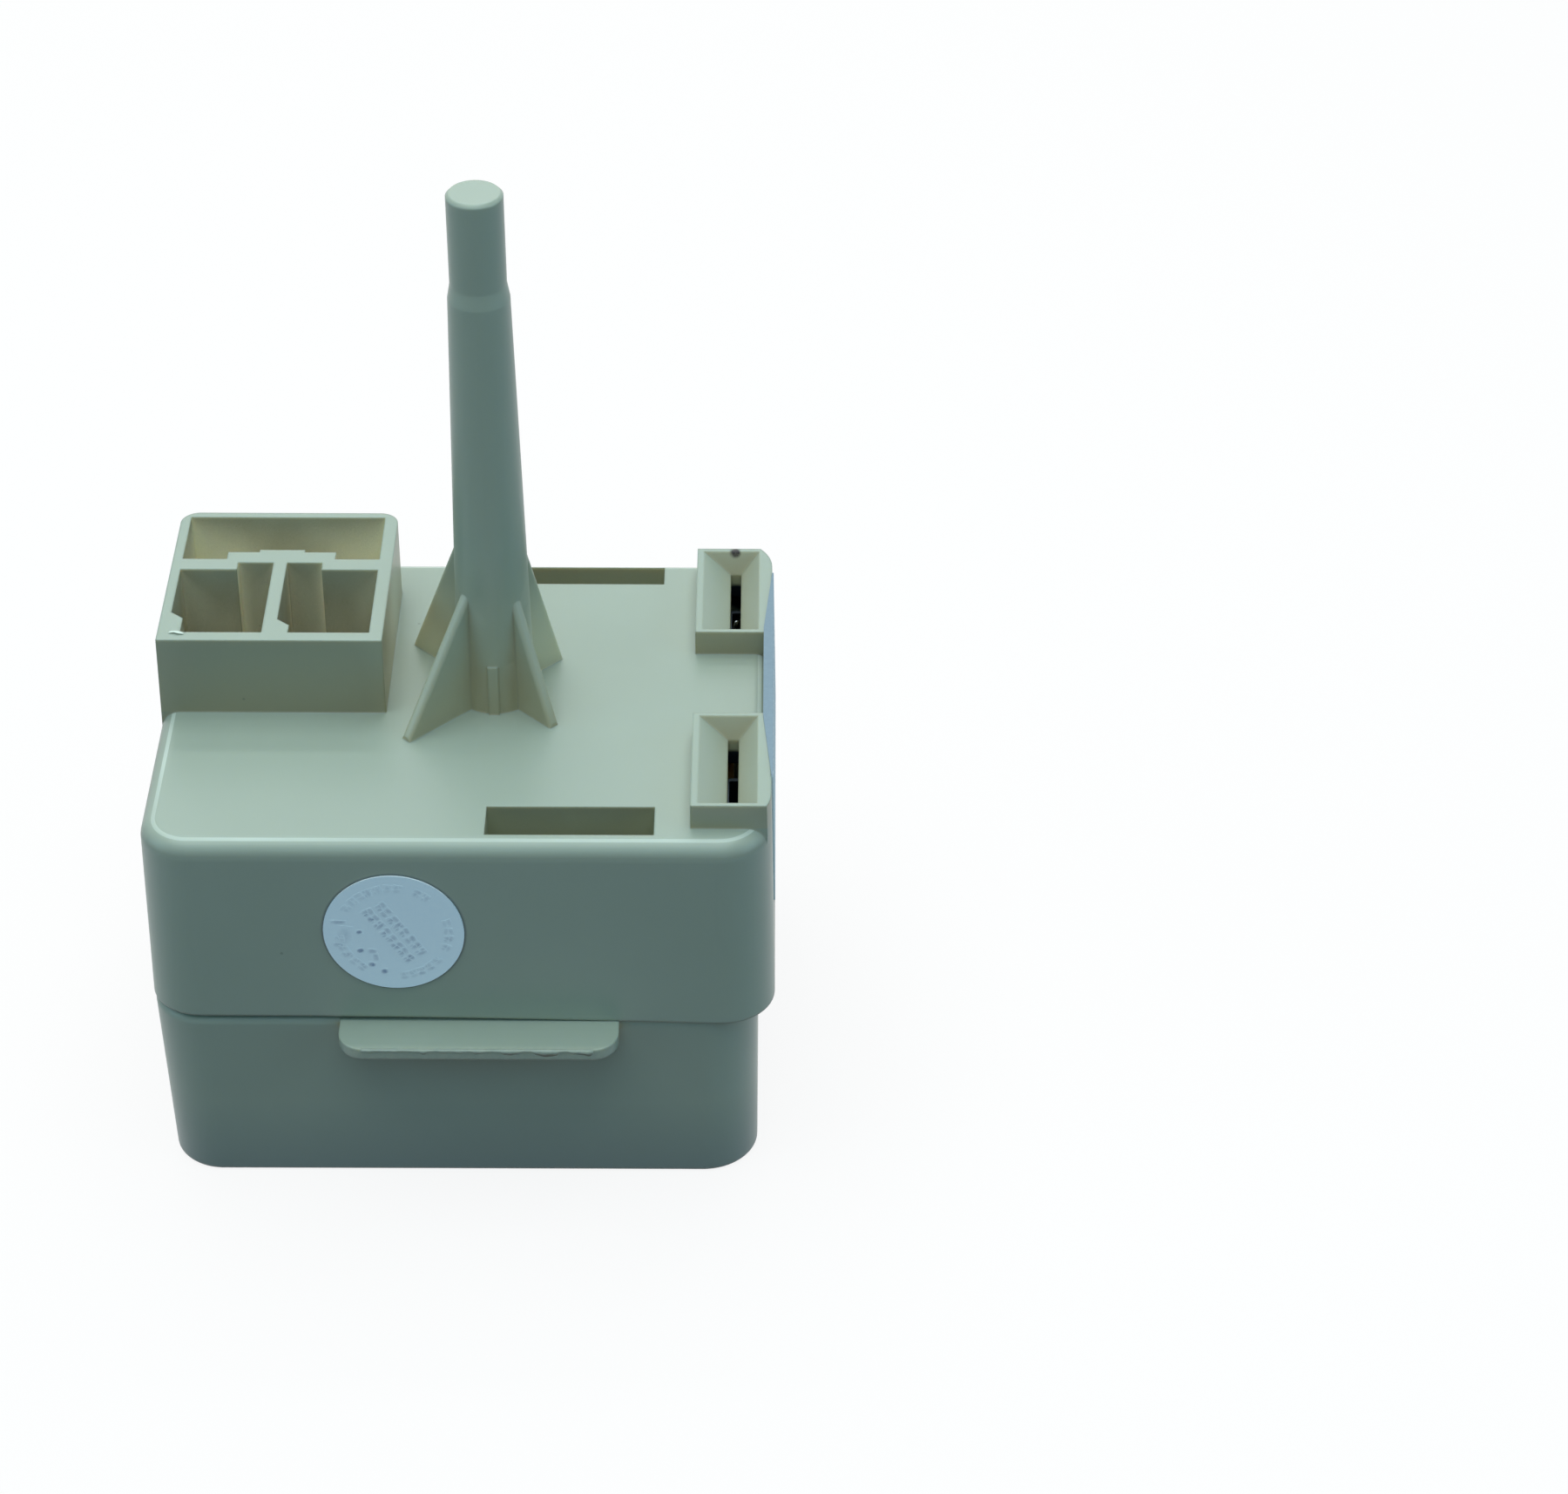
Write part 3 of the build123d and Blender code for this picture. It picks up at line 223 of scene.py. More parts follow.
def coat_walls(tree, here, colour, corner_shade_hex, hollow_light_hex):
    """Painted corner shade, bounce light on walls and in hollows, gusset glow, shroud shade and cell light.
    """
    foot, deep, walled = (
        add(tree, "ShaderNodeMapRange", {"Value": here["openness"], "From Min": open_share,
                                         "From Max": shut_share}).outputs["Result"]
        for open_share, shut_share in (foot_corner, deep_corner, cell_corner))
    # Painted warm shade in corners, then painted bounce light in the deepest hollows.
    colour = paint_over(tree, colour, [foot, here["upright"]], corner_shade_hex)
    colour = paint_over(tree, colour, [deep, here["upright"]], hollow_light_hex)
    over_roof = add(tree, "ShaderNodeMath", {0: here["Z"], 1: roof_top_mm * MM}, operation="GREATER_THAN")
    near_roof = add(tree, "ShaderNodeMapRange", {"Value": here["Z"], "From Min": warm_ends_mm * MM,
                                                 "From Max": warm_full_mm * MM})
    standing = [over_roof.outputs[0], near_roof.outputs["Result"], here["upright"]]
    # Painted bounce light from the roof on standing walls.
    colour = paint_over(tree, colour, standing, *roof_bounce_coat)
    # Painted glow of light through the two back gussets.
    for web_middle in back_webs:
        glow = near_place(tree, here["place"], web_middle, web_glow_mm, web_fade_mm)
        colour = paint_over(tree, colour, [glow] + standing, *web_glow_coat)
    # Painted shade on the shroud's front.
    plug_side = near_place(tree, here["place"], shroud_front, shroud_shade_mm, shroud_fade_mm)
    colour = paint_over(tree, colour, [plug_side, here["upright"]], *shroud_shade_coat)
    # Painted pale light inside the shroud's cells.
    in_cells = [walled, here["upright"]]
    for axis, (middle_mm, half_mm) in cells_box_mm.items():
        between = add(tree, "ShaderNodeMath", {0: here[axis], 1: middle_mm * MM, 2: half_mm * MM},
                      operation="COMPARE")
        in_cells.append(between.outputs[0])
    return paint_over(tree, colour, in_cells, *cell_light_coat)


print("cells span mm:", [2 * half_mm for middle_mm, half_mm in cells_box_mm.values()])

# %% [markdown]
# ## Rounded edge and foot
# The roof's long rounded edge turns from bright to dark within two millimetres. A coat of painted
# shade below its crown makes that turn as quick as it looks. The foot of the lower walls gets a
# cooler, darker coat of painted shade, since the bench gives them little light.

# %% Rounded edge and foot
# Places and colours of painted shade under the rounded edge and at the foot of the walls.
edge_middle_mm, edge_half_mm = 38.6, 1.3
edge_lean_from, edge_lean_full = 0.05, 0.3
under_edge_shade_coat = ("#8c9283", 0.8)
foot_height_mm = 9.0
low_wall_shade_coat = ("#5f7276", 0.55)


def coat_edges(tree, here, colour):
    """Painted shade under the roof's rounded edge, and cool painted shade at the foot."""
    round_edge = add(tree, "ShaderNodeMath", {0: here["Z"], 1: edge_middle_mm * MM, 2: edge_half_mm * MM},
                     operation="COMPARE")
    leaning = add(tree, "ShaderNodeMapRange", {"Value": here["facing_up"], "From Min": edge_lean_from,
                                               "From Max": edge_lean_full})
    under_edge = [round_edge.outputs[0], leaning.outputs["Result"], here["upright"]]
    # Painted shade under the crown of the rounded edge.
    colour = paint_over(tree, colour, under_edge, *under_edge_shade_coat)
    # Cool painted shade, darker towards the bottom.
    low = add(tree, "ShaderNodeMapRange", {"Value": here["Z"], "From Min": foot_height_mm * MM,
                                           "From Max": 0.0})
    return paint_over(tree, colour, [low.outputs["Result"]], *low_wall_shade_coat)


print("rounded edge from", edge_middle_mm - edge_half_mm, "to", edge_middle_mm + edge_half_mm, "mm")

# %% [markdown]
# ## Marks of use, painted highlight and painted shade
# Dust leaves a few specks all over. The lip was trimmed, and its front is torn pale. A broken pale
# line of painted highlight runs along the crown of the roof's edge. A dark ring of painted shadow
# lies round the sticker's edge, a brown stain sits on the back funnel's rim, and painted shade
# darkens the back ends of the two blade slots. Each mark has a place and a size of its own.

# %% Marks of use, painted highlight and painted shade
speck_spacing_mm = 5.0
speck_size, speck_chance = 0.03, 0.3     # a speck's radius, in spacings, and how many cells have one
speck_coat = ("#5f6558", 0.4)
lip_trim_from_mm, lip_trim_full_mm = -27.4, -28.1
lip_coat = ("#d3cdb2", 0.5)
# Pale line of painted highlight on the crown of the roof's edge.
highlight_height_mm, highlight_half_mm, highlight_facing_up = 39.8, 0.06, 0.65
edge_highlight_coat = ("#eef2e4", 0.6)
sticker_centre = Vector((-5.87, -23.82, 30.1)) * MM
sticker_radius_mm = 6.55
# Dark ring of painted shadow round the sticker's edge.
sticker_shadow_mm = 0.28
sticker_shadow_coat = ("#3b4a52", 0.9)
stain_place = Vector((25.45, 21.4, 42.4)) * MM
stain_radius_mm, stain_fade_mm = 0.35, 0.3
stain_coat = ("#1d1410", 1.9)
# Painted shade at the back ends of the two blade slots.
slot_ends = [Vector((25.55, y_mm, 37.0)) * MM for y_mm in (-7.6, 20.4)]
slot_shade_mm, slot_fade_mm = 2.0, 0.4
slot_shade_coat = ("#10161d", 1.0)


def dust_specks(tree, place):
    """Small round specks, on about a third of the cells of a random pattern."""
    cells = add(tree, "ShaderNodeTexVoronoi", {"Vector": place, "Scale": per_metre(speck_spacing_mm)})
    dice = add(tree, "ShaderNodeSeparateColor", {"Color": cells.outputs["Color"]})
    dot = add(tree, "ShaderNodeMath", {0: cells.outputs["Distance"], 1: speck_size}, operation="LESS_THAN")
    kept = add(tree, "ShaderNodeMath", {0: dice.outputs["Red"], 1: 1.0 - speck_chance},
               operation="GREATER_THAN")
    return [dot.outputs[0], kept.outputs[0]]


def coat_marks(tree, here, colour):
    """Specks, trimmed lip, painted edge highlight, painted shadow round the sticker, stain and painted shade
    in the slots, in that order.
    """
    colour = paint_over(tree, colour, dust_specks(tree, here["place"]), *speck_coat)
    trimmed = add(tree, "ShaderNodeMapRange", {"Value": here["Y"], "From Min": lip_trim_from_mm * MM,
                                               "From Max": lip_trim_full_mm * MM})
    colour = paint_over(tree, colour, [trimmed.outputs["Result"], here["smear"]], *lip_coat)
    # Painted highlight along the crown of the rounded edge.
    crown = add(tree, "ShaderNodeMath", {0: here["Z"], 1: highlight_height_mm * MM, 2: highlight_half_mm * MM},
                operation="COMPARE")
    rounded = add(tree, "ShaderNodeMath", {0: here["facing_up"], 1: highlight_facing_up}, operation="GREATER_THAN")
    colour = paint_over(tree, colour, [crown.outputs[0], rounded.outputs[0], here["clouds"]], *edge_highlight_coat)
    # Painted shadow ring round the sticker, where it stands off the wall.
    glue = near_place(tree, here["place"], sticker_centre, sticker_radius_mm, sticker_shadow_mm)
    colour = paint_over(tree, colour, [glue], *sticker_shadow_coat)
    stain = near_place(tree, here["place"], stain_place, stain_radius_mm, stain_fade_mm)
    colour = paint_over(tree, colour, [stain, here["smear"]], *stain_coat)
    # Painted shade deep in the back ends of the blade slots.
    for slot_end in slot_ends:
        shaded_slot_end = near_place(tree, here["place"], slot_end, slot_shade_mm, slot_fade_mm)
        colour = paint_over(tree, colour, [shaded_slot_end], *slot_shade_coat)
    return colour


print("painted shadow ring round the sticker:", 2 * (sticker_radius_mm + sticker_shadow_mm), "mm across")

# %% [markdown]
# ## Housing plastic
# The shells are moulded in PBT, a stiff polyester that stays pale and slightly satin, with a
# little light that sinks in. The mould leaves a fine spark-eroded grain, and the surface sinks
# over thick ribs. Moulded edges are never sharp: the Bevel node rounds the light on them by a
# third of a millimetre, which is quicker than rounding every edge of the mesh.

# %% Housing plastic
pbt_grain_mm, pbt_grain_depth_mm = 0.35, 0.03    # real grain is near 0.05 mm, drawn coarser to show
pbt_sink_mm, pbt_sink_depth_mm = 9.0, 0.12
pbt_edge_mm = 0.35
pbt_rough_low, pbt_rough_high = 0.3, 0.42


def moulded_pbt(name, light_hex, dark_hex, corner_shade_hex, hollow_light_hex):
    """Pale moulded polyester with clouds, coats of painted light and shade, marks, fine grain and softened
    edges.
    """
    material, tree, shader = new_finish(name, IOR=1.52, Specular_IOR_Level=0.4, Subsurface_Weight=0.3,
                                        Subsurface_Radius=(1.0, 0.8, 0.45), Subsurface_Scale=1.6 * MM)
    here = surface_facts(tree)
    colour = paint_over(tree, linear(light_hex), [here["clouds"]], dark_hex)
    colour = coat_walls(tree, here, colour, corner_shade_hex, hollow_light_hex)
    colour = coat_edges(tree, here, colour)
    colour = coat_marks(tree, here, colour)
    tree.links.new(colour, shader.inputs["Base Color"])
    gloss = add(tree, "ShaderNodeMapRange", {"Value": here["clouds"], "To Min": pbt_rough_low,
                                             "To Max": pbt_rough_high})
    tree.links.new(gloss.outputs["Result"], shader.inputs["Roughness"])
    grain = add(tree, "ShaderNodeTexNoise", {"Vector": here["place"], "Scale": per_metre(pbt_grain_mm),
                                             "Detail": 2.0})
    sink = add(tree, "ShaderNodeTexNoise", {"Vector": here["place"], "Scale": per_metre(pbt_sink_mm),
                                            "Detail": 1.0})
    soft_edge = add(tree, "ShaderNodeBevel", {"Radius": pbt_edge_mm * MM}, samples=8)
    waves = add(tree, "ShaderNodeBump", {"Strength": 0.35, "Distance": pbt_sink_depth_mm * MM,
                                         "Height": sink.outputs["Fac"],
                                         "Normal": soft_edge.outputs["Normal"]})
    skin = add(tree, "ShaderNodeBump", {"Strength": 0.12, "Distance": pbt_grain_depth_mm * MM,
                                        "Height": grain.outputs["Fac"],
                                        "Normal": waves.outputs["Normal"]})
    tree.links.new(skin.outputs["Normal"], shader.inputs["Normal"])
    return material


# The last two colours are painted warm corner shade and painted bounce light in deep hollows.
housing_pbt = moulded_pbt("moulded_pbt_cream", "#a5ab9a", "#9ea493", "#9d967a", "#b2ad8b")
print("made", housing_pbt.name, "with", len(housing_pbt.node_tree.nodes), "nodes")

# %% [markdown]
# ## Sheet metals
# The tabs, bars and sockets are stamped from brass and phosphor bronze strip, and the clips are
# zinc-plated steel. Rolled strip keeps fine lines along the way it was rolled, which a noise
# stretched along one axis gives. Metals take their colour through Metallic, and keep the
# default IOR.

# %% Sheet metals
rolling_line_mm = 0.25
rolling_stretch = 0.04                   # lines are 25 times as long as they are wide
dull_patch_mm = 4.0


def rolled_metal(name, bright_hex, dull_hex, rough_low, rough_high):
    """Rolled or plated sheet with fine lines and dull patches."""
    material, tree, shader = new_finish(name, Metallic=1.0)
    place = add(tree, "ShaderNodeTexCoord").outputs["Object"]
    along = add(tree, "ShaderNodeMapping", {"Vector": place, "Scale": (1.0, 1.0, rolling_stretch)})
    lines = add(tree, "ShaderNodeTexNoise", {"Vector": along.outputs["Vector"],
                                             "Scale": per_metre(rolling_line_mm), "Detail": 3.0})
    patches = add(tree, "ShaderNodeTexNoise", {"Vector": place, "Scale": per_metre(dull_patch_mm),
                                               "Detail": 3.0})
    colour = add(tree, "ShaderNodeMix", {"Factor": patches.outputs["Fac"], "A": linear(bright_hex),
                                         "B": linear(dull_hex)}, data_type="RGBA")
    tree.links.new(colour.outputs["Result"], shader.inputs["Base Color"])
    rough = add(tree, "ShaderNodeMapRange", {"Value": patches.outputs["Fac"], "To Min": rough_low,
                                             "To Max": rough_high})
    tree.links.new(rough.outputs["Result"], shader.inputs["Roughness"])
    relief = add(tree, "ShaderNodeBump", {"Strength": 0.15, "Distance": 0.01 * MM,
                                          "Height": lines.outputs["Fac"]})
    tree.links.new(relief.outputs["Normal"], shader.inputs["Normal"])
    return material


stamped_brass = rolled_metal("stamped_brass", "#d8b878", "#b8955a", 0.24, 0.38)
phosphor_bronze = rolled_metal("tinned_phosphor_bronze", "#5d656d", "#454c55", 0.3, 0.42)
zinc_plated_steel = rolled_metal("zinc_plated_steel", "#c3c6c8", "#a3a7aa", 0.28, 0.42)
rolled_bimetal = rolled_metal("rolled_bimetal", "#cfcac0", "#aba598", 0.22, 0.34)
silver_contact = rolled_metal("silver_contact", "#e6e3dc", "#c4beb2", 0.3, 0.45)
resistance_wire = rolled_metal("resistance_wire", "#8d8680", "#665f5a", 0.4, 0.55)
print("made six metals")

# %% [markdown]
# ## Dark mouldings, ceramic and board
# The overload protector's bowl and lid are phenolic, hard and black with a faint powdery fleck.
# The thermistor is a fired ceramic disc, and the barrier is pressed board whose fibres lie in
# the sheet. None of them shines like the housing, so their roughness is higher.

# %% Dark mouldings, ceramic and board


def mottled(name, first_hex, second_hex, feature_mm, roughness, relief_mm, **constants):
    """A dull material whose two colours and relief follow one noise of a real size."""
    material, tree, shader = new_finish(name, Roughness=roughness, **constants)
    place = add(tree, "ShaderNodeTexCoord").outputs["Object"]
    fleck = add(tree, "ShaderNodeTexNoise", {"Vector": place, "Scale": per_metre(feature_mm), "Detail": 5.0,
                                             "Roughness": 0.7})
    colour = add(tree, "ShaderNodeMix", {"Factor": fleck.outputs["Fac"], "A": linear(first_hex),
                                         "B": linear(second_hex)}, data_type="RGBA")
    tree.links.new(colour.outputs["Result"], shader.inputs["Base Color"])
    relief = add(tree, "ShaderNodeBump", {"Strength": 0.3, "Distance": relief_mm * MM,
                                          "Height": fleck.outputs["Fac"]})
    tree.links.new(relief.outputs["Normal"], shader.inputs["Normal"])
    return material


black_phenolic = mottled("black_phenolic", "#1b1917", "#2d2925", 0.6, 0.5, 0.03, IOR=1.6)
fired_ceramic = mottled("fired_ceramic", "#6a6865", "#565350", 0.4, 0.7, 0.02)
pressed_board = mottled("pressed_board", "#8f7650", "#6f5a3b", 0.8, 0.85, 0.05)
print("made three dull materials")

# %% [markdown]
# ## Coated paper
# A round sticker sits on the front wall, and a label is folded over the roof's right edge. Both
# are coated paper, a little bluer than the plastic, smooth enough for a soft sheen but with a
# faint cockle from the glue under them. The sticker is laminated, so it has a clear coat. Faces
# turned one way are painted white: on cut edges that is the real white of bare paper, and where
# they face the lamps it is also painted light. The print is plain and says nothing.

# %% Coated paper
paper_fibre_mm = 0.5
paper_cockle_mm = 3.5
# White for faces turned one way: bare cut paper, and painted light where they face the lamps.
bare_and_lit_paper_coat = ("#f4f7f8", 1.0)
bare_and_lit_facing = 0.6                        # cosine of the angle to the bare side


def coated_paper(name, clean_hex, worn_hex, ink_hex, bare_and_lit_way, **constants):
    """Label paper with fibre clouds and a cockle, inked by attribute, white where it faces one way for bare
    edges and painted light.
    """
    material, tree, shader = new_finish(name, IOR=1.5, **constants)
    place = add(tree, "ShaderNodeTexCoord").outputs["Object"]
    fibre = add(tree, "ShaderNodeTexNoise", {"Vector": place, "Scale": per_metre(paper_fibre_mm),
                                             "Detail": 4.0}).outputs["Fac"]
    colour = paint_over(tree, linear(clean_hex), [fibre], worn_hex)
    ink = add(tree, "ShaderNodeAttribute", attribute_name="ink").outputs["Fac"]
    depth = add(tree, "ShaderNodeAttribute", attribute_name="depth").outputs["Fac"]
    colour = paint_over(tree, colour, [ink, depth, fibre], ink_hex, 2.0)
    facing = add(tree, "ShaderNodeNewGeometry").outputs["True Normal"]
    # Faces turned one way get painted white: bare cut paper, and painted light toward the lamps.
    turned = add(tree, "ShaderNodeVectorMath", {0: facing, 1: bare_and_lit_way}, operation="DOT_PRODUCT")
    bare = add(tree, "ShaderNodeMath", {0: turned.outputs["Value"], 1: bare_and_lit_facing}, operation="GREATER_THAN")
    colour = paint_over(tree, colour, [bare.outputs[0]], *bare_and_lit_paper_coat)
    tree.links.new(colour, shader.inputs["Base Color"])
    cockle = add(tree, "ShaderNodeTexNoise", {"Vector": place, "Scale": per_metre(paper_cockle_mm),
                                              "Detail": 2.0})
    relief = add(tree, "ShaderNodeBump", {"Strength": 0.35, "Distance": 0.05 * MM,
                                          "Height": cockle.outputs["Fac"]})
    tree.links.new(relief.outputs["Normal"], shader.inputs["Normal"])
    return material


# The sticker's top rim is painted white: bare paper edge and painted highlight.
sticker_paper = coated_paper("laminated_sticker_paper", "#e8f8ff", "#dff3fd", "#3a78a0", (0, 0, 1),
                             Roughness=0.3, Specular_IOR_Level=0.8, Coat_Weight=1.0, Coat_IOR=1.6,
                             Coat_Roughness=0.3)
# The label's faces to the right and front are painted white, partly bare paper and partly painted light.
label_paper = coated_paper("matt_label_paper", "#8f9ba3", "#848f98", "#7a8590", (0.71, -0.71, 0),
                           Roughness=0.65, Specular_IOR_Level=0.2)
print("made two papers")

# %% [markdown]
# ## Give each solid its finish
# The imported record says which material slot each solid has, so one table from slot to finish
# dresses them all, the hidden ones as well.

# %% Dress the solids
finishes = {
    "housing_plastic": housing_pbt,
    "sticker": sticker_paper,
    "label": label_paper,
    "brass": stamped_brass,
    "spring_bronze": phosphor_bronze,
    "spring_steel": zinc_plated_steel,
    "contact_silver": silver_contact,
    "thermistor": fired_ceramic,
    "phenolic": black_phenolic,
    "barrier_board": pressed_board,
    "bimetal": rolled_bimetal,
    "heater": resistance_wire,
}
for part in frame["record"]["subparts"]:
    mesh = solids[part["node"]].data
    mesh.materials.clear()
    mesh.materials.append(finishes[part["material_slot"]])

# %% [markdown]
# ## Faint print on the sticker
# The sticker's print has faded and bled to soft grey blots: broken runs round its rim, two
# slanted rows in the middle and a few dots. It is drawn here as plain strokes that say nothing.
# Each stroke is a thin patch of the sticker's own paper, and a Geometry Nodes tree sets one on
# every point of a cloud. The points' own attributes turn it, size it and say how dark it is, and
# the patch carries an attribute that fades from its middle to its rim, which the paper reads.

# %% Ink strokes on points
stroke_thickness_mm = 0.012
stroke_core = 0.25                       # full ink out to here, none at half a stroke from its middle
patch_points = 7


def strokes_tree():
    """Sets one thin patch on each point, turned and scaled by its attributes."""
    tree = bpy.data.node_groups.new("strokes_on_points", "GeometryNodeTree")
    tree.interface.new_socket("Points", in_out="INPUT", socket_type="NodeSocketGeometry")
    tree.interface.new_socket("Paper", in_out="INPUT", socket_type="NodeSocketMaterial")
    tree.interface.new_socket("Strokes", in_out="OUTPUT", socket_type="NodeSocketGeometry")
    given = tree.nodes.new("NodeGroupInput")
    patch = add(tree, "GeometryNodeMeshCube", {"Size": (1.0, 1.0, 1.0), "Vertices X": patch_points,
                                              "Vertices Z": patch_points})
    place = add(tree, "GeometryNodeInputPosition").outputs["Position"]
    in_plane = add(tree, "ShaderNodeVectorMath", {0: place, 1: (1.0, 0.0, 1.0)}, operation="MULTIPLY")
    from_middle = add(tree, "ShaderNodeVectorMath", {0: in_plane.outputs["Vector"]}, operation="LENGTH")
    fade = add(tree, "ShaderNodeMapRange", {"Value": from_middle.outputs["Value"], "From Min": stroke_core,
                                            "From Max": 0.5, "To Min": 1.0, "To Max": 0.0})
    faded = add(tree, "GeometryNodeStoreNamedAttribute", {
        "Geometry": patch.outputs["Mesh"], "Name": "ink", "Value": fade.outputs["Result"]},
        data_type="FLOAT", domain="POINT")
    turn, size = (add(tree, "GeometryNodeInputNamedAttribute", {"Name": name}, data_type="FLOAT_VECTOR")
                  for name in ("turn", "size"))
    placed = add(tree, "GeometryNodeInstanceOnPoints", {
        "Points": given.outputs["Points"], "Instance": faded.outputs["Geometry"],
        "Rotation": turn.outputs["Attribute"], "Scale": size.outputs["Attribute"]})
    real = add(tree, "GeometryNodeRealizeInstances", {"Geometry": placed.outputs["Instances"]})
    papered = add(tree, "GeometryNodeSetMaterial", {"Geometry": real.outputs["Geometry"],
                                                    "Material": given.outputs["Paper"]})
    add(tree, "NodeGroupOutput", {"Strokes": papered.outputs["Geometry"]})
    return tree


strokes = strokes_tree()
print("stroke tree has", len(strokes.nodes), "nodes")

# %% [markdown]
# The tree works on a cloud of points. Each mark becomes one point that carries its turn, size and
# darkness, and the paper is handed in by the socket's identifier. The result is then turned into
# a plain mesh and the cloud is removed, so that it can be saved like any other piece.

# %% From marks to one mesh


def plain_mesh(source, name):
    """The evaluated mesh of an object as a new plain object, with the source removed."""
    bpy.context.view_layer.update()
    evaluated = source.evaluated_get(bpy.context.evaluated_depsgraph_get())
    mesh = bpy.data.meshes.new_from_object(evaluated)
    bpy.data.objects.remove(source)
    mesh.name = name
    piece = bpy.data.objects.new(name, mesh)
    bpy.context.scene.collection.objects.link(piece)
    return piece


def print_strokes(name, marks, paper):
    """Turns marks, each a centre, turn, size and depth, into one plain mesh of thin patches."""
    mesh = bpy.data.meshes.new(name + "_points")
    mesh.from_pydata([mark["centre"] for mark in marks], [], [])
    for attribute in ("turn", "size"):
        values = mesh.attributes.new(attribute, "FLOAT_VECTOR", "POINT")
        values.data.foreach_set("vector", [v for mark in marks for v in mark[attribute]])
    depths = mesh.attributes.new("depth", "FLOAT", "POINT")
    depths.data.foreach_set("value", [mark["depth"] for mark in marks])
    cloud = bpy.data.objects.new(name + "_points", mesh)
    bpy.context.scene.collection.objects.link(cloud)
    modifier = cloud.modifiers.new("strokes", "NODES")
    modifier.node_group = strokes
    paper_socket = next(item for item in strokes.interface.items_tree if item.name == "Paper")
    modifier[paper_socket.identifier] = paper
    return plain_mesh(cloud, name)


print("inputs of the tree:", [item.name for item in strokes.interface.items_tree if item.in_out == "INPUT"])

# %% [markdown]
# The sticker leans back by the wall's one degree of draft, so a stroke's place is worked out in
# the sticker's own plane, with u to the right and v up the wall, and then laid on its face. A
# sign is an upright blot with two cross blots, each a little out of place.

# %% Blurred signs
wall_lean = math.radians(1.0)
sticker_face_mm = 0.152
rng = random.Random(7)


def stroke(u_mm, v_mm, angle, long_mm, high_mm, depth):
    """One stroke on the sticker, turned in its plane, a hair above or below its neighbours."""
    up = Vector((0, math.sin(wall_lean), math.cos(wall_lean)))
    outward = Vector((0, -math.cos(wall_lean), math.sin(wall_lean)))
    lifted = outward * (sticker_face_mm + rng.uniform(0.0, 0.006))
    return {"centre": sticker_centre + (Vector((u_mm, 0, 0)) + up * v_mm + lifted) * MM,
            "turn": (-wall_lean, -angle, 0), "depth": depth,
            "size": (long_mm * MM, stroke_thickness_mm * MM, high_mm * MM)}


def blurred_sign(u_mm, v_mm, angle, tall_mm, depth):
    """An upright blot and two cross blots, a little out of place."""
    along = Vector((math.cos(angle), math.sin(angle)))
    across = Vector((-along.y, along.x))
    upright_blot = (rng.uniform(-0.2, 0.2), 0.0, 0.46, 1.15 * tall_mm)
    cross_blots = [(rng.uniform(-0.1, 0.1), side * 0.3 * tall_mm, 0.85, 0.55 * tall_mm) for side in (-1, 1)]
    made = []
    for shift, lift, long_mm, high_mm in [upright_blot] + cross_blots:
        spot = Vector((u_mm, v_mm)) + along * shift + across * lift
        made.append(stroke(spot.x, spot.y, angle + rng.uniform(-0.25, 0.25), long_mm, high_mm,
                           depth * rng.uniform(0.55, 1.0)))
    return made


print("ink lies mm over the sticker's back:", sticker_face_mm)

# %% [markdown]
# Runs of signs that follow the rim are set by angle, and the two slanted rows by distance, so
# that both keep an even pitch. The loose marks are single strokes, where the ink ran.

# %% The sticker's print
rim_print_radius_mm = 5.1
rim_pitch_degrees = 9.5
row_turn = math.radians(-56.5)
row_pitch_mm = 0.92
rim_runs = ((147, 112, 0.34), (105, 78, 0.42), (62, 48, 0.36), (12, -24, 0.4), (-40, -82, 0.36),
            (-128, -172, 0.4))           # first and last angle in degrees, and how dark
slanted_rows = ((-0.63, -3.2, 3.5, 0.7), (0.79, -3.1, 3.6, 0.55))  # offset, first and last mm, how dark
loose_marks = ((-3.2, 0.05, 0.62, 0.5, 0.9), (-3.2, -2.1, 0.72, 0.55, 1.2), (-2.2, -3.75, 0.75, 0.6, 0.9),
               (-1.06, -4.57, 0.75, 0.65, 0.9), (-5.1, 1.2, 1.5, 0.5, 0.6), (-5.2, -1.45, 1.0, 0.5, 0.5),
               (-4.6, -0.4, 1.5, 2.4, 0.2), (-2.1, -2.2, 0.9, 0.6, 0.5),
               (-1.8, -2.9, 0.6, 1.0, 0.45))                   # u, v, length and height in mm, how dark

marks = []
for start, end, depth in rim_runs:
    degrees = start
    while degrees > end:
        angle = math.radians(degrees)
        spot = rim_print_radius_mm * Vector((math.cos(angle), math.sin(angle)))
        marks += blurred_sign(spot.x, spot.y, angle - math.pi / 2, 0.8, depth * rng.uniform(0.5, 1.2))
        degrees -= rim_pitch_degrees * rng.uniform(0.9, 1.2)
along_row = Vector((math.cos(row_turn), math.sin(row_turn)))
across_row = Vector((-along_row.y, along_row.x))
for across_mm, first_mm, last_mm, depth in slanted_rows:
    place_mm = first_mm
    while place_mm < last_mm:
        spot = along_row * place_mm + across_row * across_mm
        marks += blurred_sign(spot.x, spot.y, row_turn, 1.0, depth)
        place_mm += row_pitch_mm
for u_mm, v_mm, long_mm, high_mm, depth in loose_marks:
    marks.append(stroke(u_mm, v_mm, rng.uniform(-0.2, 0.2), long_mm, high_mm, depth))
sticker_print = print_strokes("sticker_print", marks, sticker_paper)
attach(sticker_print, "root")
print("sticker print strokes:", len(marks))

